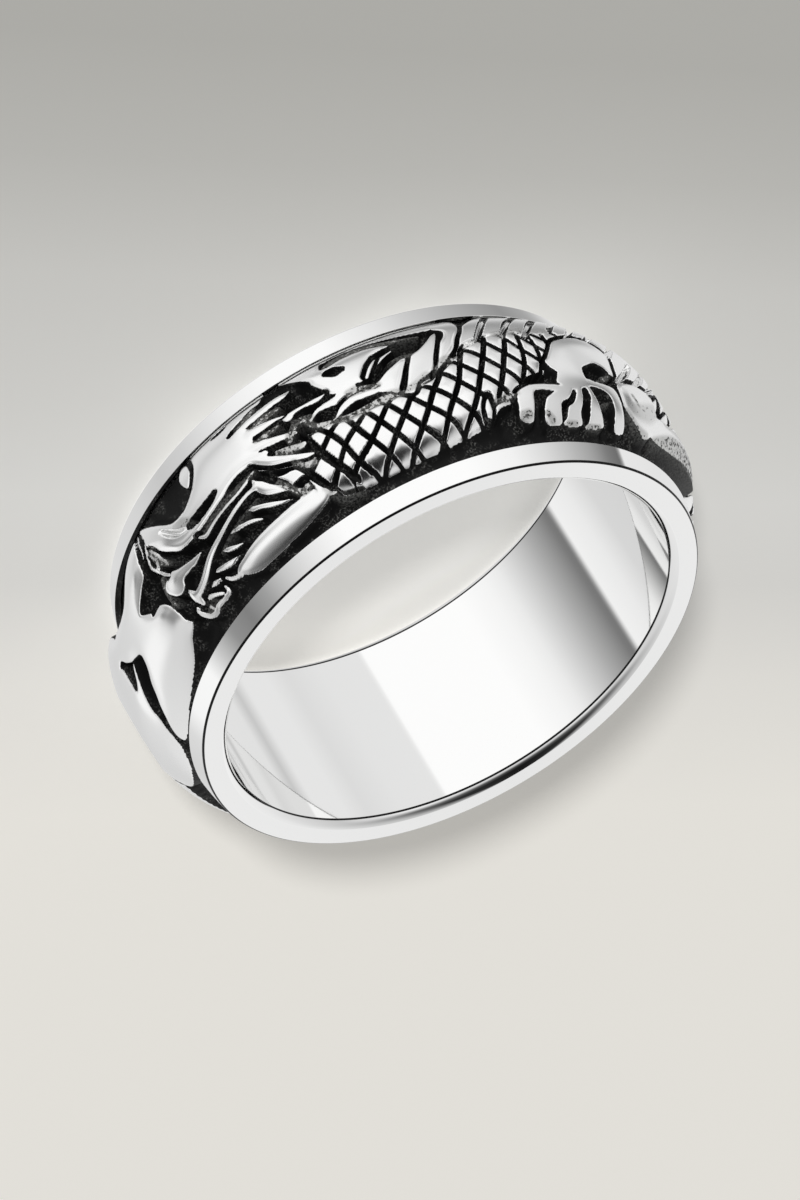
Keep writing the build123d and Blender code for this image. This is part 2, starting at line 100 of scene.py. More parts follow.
# Ropes: rounded ridges that swell and taper along a smooth line.
# Columns: angle, across, half width (share), top (share)
ROPES = {
    "lip": (
        (-80, -0.12, 0.04, 0.97), (-78, -0.14, 0.055, 0.98), (-75.5, -0.175, 0.06, 0.99),
        (-73, -0.17, 0.055, 1), (-70.5, -0.13, 0.05, 1), (-68, -0.075, 0.05, 1),
        (-65, -0.027, 0.046, 1), (-62, 0.008, 0.045, 1), (-59.4, 0.015, 0.05, 1),
        (-57, 0.0, 0.053, 0.99), (-55.2, -0.06, 0.05, 0.99), (-53.6, -0.155, 0.05, 0.98),
        (-52.2, -0.25, 0.045, 0.97), (-51, -0.36, 0.03, 0.95),
    ),
    "jaw_stem": (
        (-81, 0.50, 0.01, 0.91), (-80, 0.43, 0.03, 0.94), (-78.6, 0.37, 0.05, 0.95),
        (-77, 0.29, 0.07, 0.95), (-75.9, 0.19, 0.07, 0.95), (-75.4, 0.12, 0.045, 0.95),
        (-75.3, 0.06, 0.015, 0.93),
    ),
    "jaw": (
        (-75.8, 0.17, 0.04, 0.95), (-73, 0.165, 0.032, 0.95), (-70, 0.20, 0.033, 0.96),
        (-67, 0.255, 0.032, 0.96), (-64.2, 0.312, 0.035, 0.97), (-60.3, 0.388, 0.043, 0.97),
        (-56.5, 0.503, 0.048, 0.97), (-53.8, 0.552, 0.047, 0.97), (-52.3, 0.56, 0.055, 0.97),
    ),
    "jaw_knob": (
        (-52.3, 0.66, 0.035, 0.95), (-52.15, 0.58, 0.062, 0.97), (-51.9, 0.51, 0.055, 0.97),
        (-51.8, 0.46, 0.03, 0.95),
    ),
    "tooth_1": (
        (-79.8, 0.575, 0.015, 0.85), (-78, 0.53, 0.027, 0.88), (-76, 0.47, 0.037, 0.91),
        (-74, 0.40, 0.034, 0.91), (-72.6, 0.365, 0.037, 0.88), (-71.9, 0.35, 0.015, 0.83),
    ),
    "tooth_2": (
        (-72.9, 0.53, 0.02, 0.83), (-71.5, 0.48, 0.029, 0.86), (-69.8, 0.44, 0.032, 0.87),
        (-68, 0.42, 0.029, 0.86), (-66.4, 0.40, 0.02, 0.82),
    ),
    "tooth_3": (
        (-67.2, 0.585, 0.015, 0.84), (-65.7, 0.557, 0.029, 0.88), (-64, 0.51, 0.035, 0.89),
        (-63.2, 0.49, 0.017, 0.86),
    ),
    "tooth_4": (
        (-65.2, 0.665, 0.02, 0.88), (-63, 0.64, 0.037, 0.91), (-61.1, 0.61, 0.038, 0.92),
        (-59.4, 0.575, 0.029, 0.89), (-58.9, 0.56, 0.012, 0.85),
    ),
    "tooth_5": (
        (-59.9, 0.685, 0.015, 0.88), (-58, 0.66, 0.032, 0.91), (-56.5, 0.628, 0.033, 0.91),
        (-55.4, 0.61, 0.017, 0.89),
    ),
    "chin_rib": (
        (-57.1, 0.78, 0.022, 0.87), (-55.8, 0.73, 0.027, 0.91), (-54.4, 0.69, 0.032, 0.93),
        (-53.3, 0.68, 0.032, 0.93), (-52.9, 0.74, 0.029, 0.91), (-53.2, 0.79, 0.022, 0.89),
    ),
    "chin_arc": (
        (-58.4, 0.75, 0.02, 0.86), (-58.2, 0.81, 0.028, 0.89), (-56.5, 0.825, 0.028, 0.91),
        (-54.5, 0.81, 0.029, 0.92), (-53, 0.835, 0.029, 0.93), (-51.5, 0.815, 0.034, 0.95),
        (-50.5, 0.745, 0.036, 0.95), (-50.2, 0.68, 0.03, 0.95), (-51, 0.65, 0.029, 0.93),
    ),
    "horn_1": (
        (-89.5, -0.735, 0.018, 0.83), (-88, -0.705, 0.05, 0.92), (-85.5, -0.70, 0.06, 0.95),
        (-82.5, -0.68, 0.065, 0.96), (-79, -0.68, 0.085, 0.97), (-75, -0.68, 0.10, 0.96),
    ),
    "horn_2": (
        (-86.6, -0.405, 0.012, 0.85), (-84.5, -0.432, 0.032, 0.93), (-82, -0.455, 0.055, 0.95),
        (-79, -0.48, 0.08, 0.97), (-75.5, -0.50, 0.10, 0.96),
    ),
    "horn_3": (
        (-86.8, -0.11, 0.025, 0.91), (-84, -0.165, 0.045, 0.95), (-81.5, -0.215, 0.06, 0.96),
        (-79, -0.27, 0.075, 0.97), (-76, -0.30, 0.09, 0.97),
    ),
    "mane_1": (
        (-87.6, 0.25, 0.02, 0.93), (-86.4, 0.23, 0.038, 0.95), (-84.6, 0.17, 0.04, 0.97),
        (-82.6, 0.105, 0.05, 0.98), (-80.6, 0.03, 0.062, 0.98), (-79, -0.05, 0.06, 0.98),
        (-77.6, -0.11, 0.04, 0.98),
    ),
    "mane_2": (
        (-83, 0.24, 0.012, 0.91), (-81.6, 0.18, 0.025, 0.94), (-79.6, 0.10, 0.026, 0.95),
        (-77.4, 0.02, 0.017, 0.93),
    ),
    "mane_3": (
        (-87.1, 0.08, 0.035, 0.91), (-86, 0.085, 0.05, 0.94), (-84.4, 0.03, 0.04, 0.94),
        (-82.6, -0.02, 0.025, 0.93), (-80.8, -0.06, 0.01, 0.91),
    ),
    "curl": (
        (-84.9, 0.59, 0.022, 0.86), (-83.7, 0.588, 0.027, 0.89), (-83.3, 0.55, 0.029, 0.89),
        (-83.9, 0.515, 0.022, 0.86),
    ),
    "neck_edge": (
        (-87.4, 0.77, 0.014, 0.91), (-86.1, 0.735, 0.034, 0.95), (-85.3, 0.66, 0.03, 0.94),
        (-84.8, 0.58, 0.02, 0.92), (-84.4, 0.50, 0.01, 0.89),
    ),
    "bar_1": (
        (-105, -0.10, 0.05, 0.95), (-102, -0.11, 0.055, 0.96), (-99, -0.12, 0.052, 0.96),
        (-96.6, -0.075, 0.042, 0.95), (-94.9, -0.01, 0.02, 0.93), (-93.9, 0.02, 0.01, 0.9),
    ),
    "bar_2": (
        (-99.4, -0.27, 0.08, 0.95), (-97, -0.215, 0.07, 0.96), (-94.5, -0.215, 0.05, 0.96),
        (-92.3, -0.21, 0.032, 0.95), (-91, -0.165, 0.02, 0.93), (-90, -0.12, 0.01, 0.9),
    ),
    "bar_3": (
        (-94.9, -0.365, 0.014, 0.91), (-93, -0.345, 0.038, 0.95), (-90.4, -0.36, 0.03, 0.95),
        (-88.2, -0.36, 0.036, 0.95), (-86.8, -0.345, 0.058, 0.95), (-85.8, -0.38, 0.02, 0.92),
    ),
    "bottom_band": (
        (-123.2, -0.93, 0.14, 0.96), (-121, -0.90, 0.15, 0.97), (-116, -0.93, 0.15, 0.97),
        (-111, -0.97, 0.13, 0.97), (-105, -1.0, 0.09, 0.96), (-99, -1.0, 0.08, 0.95),
        (-94, -0.99, 0.12, 0.96), (-90.5, -1.0, 0.09, 0.95),
    ),
    "pocket_line_1": (
        (-110.2, -0.575, 0.017, 0.78), (-108.2, -0.525, 0.025, 0.83), (-106, -0.44, 0.027, 0.85),
        (-104.7, -0.38, 0.02, 0.82),
    ),
    "pocket_line_2": (
        (-106.4, -0.53, 0.017, 0.82), (-104.9, -0.44, 0.027, 0.86), (-103.2, -0.31, 0.025, 0.86),
    ),
    "claw_bump": ((-151.4, 0.47, 0.07, 0.8), (-150.2, 0.455, 0.09, 0.83), (-149.2, 0.44, 0.07, 0.8)),
    "claw_bead": ((-153.3, 0.885, 0.032, 0.86), (-152.4, 0.885, 0.032, 0.86)),
    "tail_1": (
        (-304, -0.80, 0.03, 0.86), (-314, -0.68, 0.11, 0.95), (-326, -0.42, 0.14, 0.96),
        (-340, -0.14, 0.14, 0.96), (-352, 0.06, 0.12, 0.95), (-364, 0.16, 0.10, 0.94),
    ),
    "tail_2": (
        (-318, -0.95, 0.03, 0.83), (-330, -0.78, 0.10, 0.93), (-344, -0.54, 0.14, 0.95),
        (-358, -0.30, 0.15, 0.95), (-374, -0.14, 0.14, 0.95),
    ),
    "tail_3": (
        (-336, -0.97, 0.03, 0.82), (-350, -0.84, 0.09, 0.91), (-364, -0.64, 0.13, 0.94),
        (-380, -0.46, 0.12, 0.94),
    ),
    "tail_4": (
        (-322, 0.74, 0.03, 0.85), (-334, 0.70, 0.10, 0.94), (-348, 0.58, 0.14, 0.95),
        (-362, 0.50, 0.14, 0.95),
    ),
    "leg": (
        (-161, 0.58, 0.10, 0.92), (-167, 0.58, 0.17, 0.96), (-174, 0.56, 0.19, 0.97),
        (-181, 0.50, 0.18, 0.97), (-188, 0.42, 0.17, 0.96), (-195, 0.32, 0.14, 0.94),
    ),
    "whisker_1": (
        (-50.2, 0.10, 0.022, 0.86), (-49.4, 0.045, 0.026, 0.88), (-48.6, -0.03, 0.026, 0.89),
        (-47.7, -0.12, 0.026, 0.89), (-47.1, -0.20, 0.024, 0.89), (-47.3, -0.32, 0.022, 0.88),
        (-47.6, -0.42, 0.02, 0.87), (-48, -0.52, 0.015, 0.86),
    ),
    "whisker_2": (
        (-51.6, 0.02, 0.016, 0.86), (-51.2, -0.06, 0.022, 0.87), (-50.6, -0.14, 0.022, 0.87),
        (-50.2, -0.22, 0.022, 0.86), (-49.6, -0.30, 0.02, 0.86), (-49, -0.36, 0.012, 0.85),
    ),
    "whisker_3": (
        (-50.2, -0.21, 0.018, 0.86), (-49.2, -0.15, 0.022, 0.87), (-48.3, -0.09, 0.02, 0.88),
    ),
    "whisker_4": (
        (-48.6, -0.06, 0.016, 0.87), (-49.4, -0.13, 0.018, 0.86), (-49.5, -0.2, 0.018, 0.86),
        (-48.7, -0.27, 0.02, 0.86), (-48.1, -0.36, 0.018, 0.86), (-47.9, -0.46, 0.012, 0.85),
    ),
    "whisker_5": (
        (-46.1, -0.40, 0.014, 0.85), (-46.4, -0.52, 0.02, 0.86), (-46, -0.62, 0.022, 0.86),
        (-45.7, -0.72, 0.02, 0.85), (-45.2, -0.80, 0.012, 0.82),
    ),
    "lip_edge": (
        (-76.4, -0.02, 0.02, 0.86), (-74.5, 0.035, 0.026, 0.89), (-71.5, 0.08, 0.026, 0.9),
        (-68, 0.10, 0.027, 0.91), (-64.9, 0.132, 0.029, 0.92), (-62.4, 0.175, 0.032, 0.93),
        (-61.5, 0.172, 0.032, 0.93), (-60.4, 0.12, 0.022, 0.93),
    ),
    "cheek_end": (
        (-64.2, 0.80, 0.022, 0.91), (-62.4, 0.79, 0.029, 0.92), (-60.7, 0.755, 0.029, 0.92),
        (-59.8, 0.70, 0.022, 0.9),
    ),
    "strand": ((-126, 0.585, 0.02, 0.83), (-123.6, 0.60, 0.027, 0.88), (-122, 0.67, 0.03, 0.9)),
    "blade": (
        (-121, 0.69, 0.03, 0.88), (-121.3, 0.61, 0.045, 0.92), (-121.6, 0.54, 0.035, 0.91),
        (-121.9, 0.48, 0.012, 0.88),
    ),
}

# Pads: smooth raised forms inside a closed outline.
# Columns: angle, across
PADS = {
    "belly": (
        (-120.5, -0.25), (-125, -0.62), (-129.5, -0.82), (-133.5, -0.95), (-136, -1.06),
        (-150, -1.08), (-168, -1.08), (-186, -1.06), (-184, -0.80), (-174, -0.10), (-166, 0.10),
        (-158, 0.16), (-152, -0.30), (-143, -0.38), (-134, -0.36), (-127, -0.26), (-123, -0.14),
    ),
    "skull": (
        (-78.2, -0.065), (-76, -0.12), (-73.4, -0.115), (-71, -0.08), (-68.5, -0.022),
        (-65, 0.022), (-61.5, 0.055), (-59, 0.05), (-58.6, -0.10), (-59.2, -0.25), (-60.3, -0.315),
        (-62, -0.375), (-63.7, -0.45), (-65.1, -0.57), (-65.8, -0.72), (-65.4, -0.86),
        (-64.6, -0.96), (-64.3, -1.03), (-73, -1.06), (-84, -1.04), (-84.1, -0.96), (-83.3, -0.88),
        (-81.2, -0.855), (-79.4, -0.80), (-78.6, -0.64), (-79.4, -0.57), (-78.8, -0.48),
        (-79.3, -0.385), (-78.5, -0.28), (-79.3, -0.15),
    ),
    "muzzle": (
        (-60.6, 0.055), (-58.5, 0.067), (-56.5, 0.055), (-54.8, 0.01), (-53.2, -0.08),
        (-52, -0.15), (-50.8, -0.24), (-49.9, -0.34), (-48.6, -0.40), (-47.6, -0.50),
        (-47.7, -0.62), (-47.1, -0.72), (-45.4, -0.785), (-47.2, -0.79), (-49.2, -0.715),
        (-51.3, -0.615), (-53.3, -0.51), (-55.2, -0.405), (-57, -0.33), (-58.8, -0.315),
        (-60.4, -0.305), (-61, -0.15),
    ),
    "cheek": (
        (-86.2, 0.70), (-84.6, 0.615), (-82, 0.598), (-78, 0.603), (-74, 0.615), (-70, 0.63),
        (-67, 0.655), (-65.2, 0.68), (-63.5, 0.70), (-62.2, 0.74), (-62.8, 0.81), (-64.5, 0.875),
        (-67, 0.915), (-71, 0.915), (-76, 0.90), (-80, 0.875), (-83.5, 0.83), (-85.8, 0.775),
    ),
    "tongue": (
        (-59.2, 0.265), (-58, 0.298), (-56.5, 0.317), (-55, 0.307), (-53.4, 0.302),
        (-52.3, 0.325), (-51.7, 0.375), (-50.2, 0.40), (-48.6, 0.355), (-47.4, 0.25),
        (-47.1, 0.17), (-48, 0.11), (-49.5, 0.085), (-51.1, 0.09), (-52.6, 0.14), (-54.5, 0.18),
        (-56.5, 0.215), (-58.6, 0.24),
    ),
    "eye": (
        (-63.3, -0.50), (-62.3, -0.58), (-61.6, -0.72), (-61.7, -0.88), (-62.1, -0.99),
        (-62.9, -0.95), (-64.1, -0.86), (-64.75, -0.73), (-64.4, -0.60),
    ),
    "mane_lobe": (
        (-84.8, 0.49), (-84.0, 0.42), (-82.5, 0.425), (-81.2, 0.425), (-80.7, 0.35),
        (-79.8, 0.27), (-78.7, 0.195), (-80.0, 0.235), (-81.5, 0.262), (-82.8, 0.265),
        (-83.8, 0.335),
    ),
    "flame": (
        (-47.4, 0.69), (-44.5, 0.765), (-40, 0.89), (-34, 0.955), (-27, 0.985), (-20, 0.99),
        (-16.4, 0.955), (-16.3, 0.87), (-18.2, 0.79), (-20.6, 0.715), (-23, 0.625), (-25.2, 0.55),
        (-27, 0.455), (-29.5, 0.375), (-30.8, 0.27), (-30.1, 0.195), (-28.2, 0.135), (-25.6, 0.06),
        (-23.5, -0.04), (-21.4, -0.16), (-16, -0.10), (-13, -0.40), (-13, -0.86), (-15.8, -0.76),
        (-18.5, -0.67), (-21, -0.585), (-23, -0.48), (-24.4, -0.395), (-26, -0.40),
        (-28.5, -0.365), (-31.5, -0.345), (-34.4, -0.37), (-36.6, -0.47), (-38.6, -0.60),
        (-40.8, -0.71), (-43.2, -0.775), (-45.6, -0.79), (-46.2, -0.72), (-45.0, -0.60),
        (-44.5, -0.38), (-43.9, -0.25), (-41.6, -0.165), (-38.3, -0.01), (-40.7, 0.13),
        (-41.0, 0.20), (-43.6, 0.185), (-45.6, 0.29), (-46.5, 0.45), (-46.8, 0.60),
    ),
    "flame_fork": (
        (-17.6, 0.76), (-15.2, 0.86), (-12, 0.93), (-5, 0.95), (4, 0.80), (4, 0.40), (-2, 0.10),
        (-4, -0.30), (-8, -0.80), (-13.5, -0.88), (-14.5, -0.55), (-16.5, -0.20), (-20.9, -0.12),
        (-21.0, 0.05), (-20.9, 0.25), (-22.6, 0.215), (-24.6, 0.13), (-26.4, 0.095),
        (-25.0, 0.19), (-23.2, 0.31), (-21.4, 0.44), (-20.0, 0.56), (-19.4, 0.66),
    ),
    "palm": (
        (-147.2, 0.33), (-147.0, 0.24), (-147.1, 0.14), (-148.2, 0.05), (-150, -0.01),
        (-152.4, -0.065), (-155, -0.04), (-156.6, 0.06), (-157.6, 0.02), (-158.6, -0.12),
        (-159.8, -0.28), (-159.6, -0.40), (-156.5, -0.49), (-152.6, -0.51), (-148.6, -0.45),
        (-145.6, -0.385), (-143.4, -0.32), (-141.6, -0.19), (-139.8, -0.06), (-138.5, 0.02),
        (-138.9, 0.12), (-139.8, 0.19), (-139.1, 0.27), (-138.6, 0.35), (-141, 0.44),
        (-144.4, 0.41),
    ),
    "elbow": (
        (-170, 0.10), (-167.5, 0.46), (-164.8, 0.69), (-161.9, 0.80), (-160, 0.71),
        (-157.9, 0.61), (-156.3, 0.50), (-156.2, 0.36), (-156.6, 0.20), (-158.6, 0.10),
        (-163, 0.02), (-168, 0.02),
    ),
    "toe_1": (
        (-141, 0.44), (-138.5, 0.37), (-136, 0.355), (-133, 0.35), (-130.8, 0.375),
        (-129, 0.43), (-128.1, 0.52), (-127.7, 0.64), (-127.3, 0.76), (-128.6, 0.81),
        (-130.2, 0.80), (-131, 0.71), (-131.7, 0.60), (-132.2, 0.50), (-133, 0.445),
        (-135, 0.45), (-137, 0.47), (-139, 0.50),
    ),
    "toe_2": (
        (-142.4, 0.36), (-141.6, 0.46), (-140, 0.555), (-138.2, 0.60), (-137.6, 0.69),
        (-137, 0.83), (-135, 0.855), (-133.1, 0.83), (-133.3, 0.70), (-133.9, 0.61),
        (-134.9, 0.53), (-136.8, 0.47), (-138.6, 0.41), (-140, 0.34),
    ),
    "toe_3": (
        (-144.4, 0.34), (-144.1, 0.50), (-143.5, 0.60), (-142.5, 0.71), (-142.3, 0.83),
        (-140, 0.865), (-137.2, 0.84), (-138.5, 0.76), (-138.9, 0.70), (-139.6, 0.635),
        (-141.1, 0.585), (-142.3, 0.48), (-142.9, 0.35),
    ),
    "toe_4": (
        (-146.4, 0.32), (-147.9, 0.50), (-148.35, 0.62), (-148.5, 0.76), (-148.1, 0.83),
        (-145.6, 0.87), (-142.6, 0.865), (-144, 0.80), (-144.7, 0.72), (-145.3, 0.61),
        (-146, 0.49), (-145.4, 0.33),
    ),
    "toe_5": (
        (-146.2, 0.35), (-149.4, 0.355), (-151.6, 0.39), (-152.5, 0.465), (-152.5, 0.58),
        (-152.1, 0.69), (-151.3, 0.85), (-153.8, 0.85), (-155, 0.76), (-155.6, 0.60),
        (-155.7, 0.42), (-155, 0.29), (-153.4, 0.255), (-150.8, 0.25), (-147, 0.235),
    ),
    "fin_1": (
        (-105.2, -0.02), (-107, 0.045), (-107.8, -0.02), (-109, -0.12), (-110.4, -0.25),
        (-111.8, -0.38), (-110.8, -0.395), (-109, -0.35), (-107.2, -0.30), (-105.4, -0.23),
        (-103.8, -0.17), (-103.4, -0.08),
    ),
    "fin_2": (
        (-107.9, 0.09), (-109.6, 0.13), (-111.5, 0.0), (-113.8, -0.05), (-115.4, -0.12),
        (-117, -0.30), (-119, -0.50), (-120.2, -0.64), (-119, -0.63), (-117.2, -0.54),
        (-115, -0.45), (-112.8, -0.385), (-111.6, -0.28), (-110.2, -0.13), (-108.8, 0.02),
    ),
    "fin_3": (
        (-115.7, -0.09), (-118, -0.16), (-119.6, -0.24), (-121.4, -0.33), (-123, -0.48),
        (-124.8, -0.62), (-125.8, -0.75), (-125.6, -0.95), (-121.8, -0.90), (-120.4, -0.76),
        (-121.6, -0.67), (-121.2, -0.58), (-119.4, -0.46), (-117.6, -0.30),
    ),
    "limb": (
        (-100.4, -0.30), (-98, -0.27), (-95.8, -0.33), (-94.9, -0.45), (-93.8, -0.58),
        (-93.5, -0.68), (-91.6, -0.81), (-89.6, -0.92), (-88.6, -1.02), (-97.4, -1.02),
        (-97, -0.86), (-96.8, -0.77), (-98.6, -0.765), (-101, -0.80), (-104.5, -0.80),
        (-107.6, -0.765), (-110.8, -0.68), (-108.2, -0.645), (-106.2, -0.60), (-104.6, -0.52),
        (-103.4, -0.41), (-102.5, -0.30),
    ),
}

# Columns: height of a pad (share), width of its rounded edge (share)
PAD_SHAPE = {
    "belly": (0.98, 0.041), "skull": (0.95, 0.041), "muzzle": (0.93, 0.038), "cheek": (0.94, 0.041),
    "tongue": (0.92, 0.038), "eye": (0.92, 0.038), "mane_lobe": (0.92, 0.03),
    "flame": (0.92, 0.041), "flame_fork": (0.9, 0.033), "palm": (0.98, 0.041),
    "elbow": (0.94, 0.041), "limb": (0.96, 0.033), "fin_1": (0.96, 0.03), "fin_2": (0.97, 0.03),
    "fin_3": (0.97, 0.03), **{f"toe_{number}": (0.97, 0.03) for number in range(1, 6)},
}

# Pads that lean: how much higher they get over half the band's width (share)
LEAN = {"cheek": 0.6}

# Forms with a dark line of their own width round them
GAPS = {"elbow": 0.03}

# Hollows cut into the forms. Columns: angle, across, half width, depth (share)
CUTS = {
    "brow": (
        (-67.8, -0.16, 0.008, 0.5), (-66.3, -0.125, 0.026, 0.8), (-64, -0.10, 0.036, 0.9),
        (-62, -0.09, 0.036, 0.9), (-60.3, -0.095, 0.028, 0.7), (-59.6, -0.10, 0.01, 0.4),
    ),
    "nose_line": (
        (-58.6, -0.11, 0.01, 0.04), (-56.6, -0.17, 0.02, 0.08), (-54.9, -0.27, 0.02, 0.08),
        (-53.3, -0.40, 0.01, 0.04),
    ),
    "horn_groove": (
        (-83.4, -0.80, 0.02, 0.8), (-80.5, -0.77, 0.03, 0.8), (-77.8, -0.72, 0.03, 0.7),
        (-75.5, -0.665, 0.012, 0.4),
    ),
    "temple": ((-74.3, -0.91, 0.03, 0.8), (-73.2, -0.91, 0.045, 0.9), (-72, -0.91, 0.03, 0.8)),
    "limb_eye": ((-99.9, -0.60, 0.03, 0.8), (-98.8, -0.615, 0.065, 0.95), (-97.6, -0.64, 0.04, 0.8)),
    "palm_hole": ((-154.6, 0.09, 0.07, 0.8), (-152, 0.10, 0.12, 0.95), (-149.2, 0.14, 0.09, 0.9)),
    "neck": (
        (-87.2, 0.72, 0.016, 0.8), (-86.3, 0.62, 0.022, 0.9), (-85.1, 0.46, 0.024, 0.95),
        (-84.1, 0.33, 0.024, 0.95), (-83.2, 0.25, 0.016, 0.8),
    ),
    "notch": (
        (-139.4, 0.30, 0.03, 1.0), (-137.6, 0.27, 0.09, 1.0), (-134.6, 0.29, 0.07, 1.0),
        (-132, 0.31, 0.03, 1.0),
    ),
    "hollow": (
        (-79.6, 0.44, 0.08, 1.0), (-77.5, 0.42, 0.16, 1.0), (-75, 0.36, 0.17, 1.0),
        (-72.5, 0.30, 0.10, 1.0),
    ),
    "nape": (
        (-84, 0.51, 0.03, 0.9), (-82.4, 0.46, 0.06, 1.0), (-80, 0.31, 0.09, 1.0),
        (-77.6, 0.12, 0.08, 1.0), (-76, 0.04, 0.03, 0.9),
    ),
    "throat": (
        (-92.3, 0.742, 0.014, 0.7), (-90.5, 0.54, 0.02, 0.9), (-89.1, 0.34, 0.022, 0.95),
        (-88, 0.12, 0.026, 0.95), (-87.3, -0.12, 0.024, 0.9), (-87, -0.16, 0.012, 0.7),
    ),
}

# Grooves of the belly, finer and shallower at their ends. Columns: depth at the
# ends, depth in the middle, then angle and across of start, middle and end
BELLY_GROOVES = (
    (0.24, 0.3, -127.1, -0.42, -131.2, -0.72, -136.2, -1.0),
    (0.24, 0.3, -132.7, -0.42, -136.5, -0.68, -143.5, -1.0),
    (0.24, 0.3, -137.3, -0.36, -141.9, -0.66, -148.8, -1.0),
    (0.24, 0.3, -145.0, -0.52, -150.4, -0.83, -155.8, -1.0),
    (0.24, 0.3, -149.6, -0.48, -155, -0.77, -161.2, -0.96),
    (0.2, 0.25, -155.8, -0.53, -159, -0.68, -162.7, -0.81),
    (0.096, 0.12, -159.5, -0.30, -162, -0.46, -166, -0.68),
    (0.11, 0.14, -158, 0.10, -162.5, -0.10, -167, -0.36),
    (0.096, 0.12, -163.5, 0.06, -168, -0.14, -173, -0.42),
    (0.096, 0.12, -168, 0.06, -173, -0.16, -179, -0.48),
    (0.096, 0.12, -165, -0.66, -169, -0.80, -176, -0.98),
)
BELLY_GROOVE_WIDTHS = (0.015, 0.02, 0.015)
for number, (ends, middle, *places) in enumerate(BELLY_GROOVES, 1):
    depths = (ends, middle, ends)
    CUTS[f"belly_{number}"] = tuple(zip(places[::2], places[1::2], BELLY_GROOVE_WIDTHS, depths))

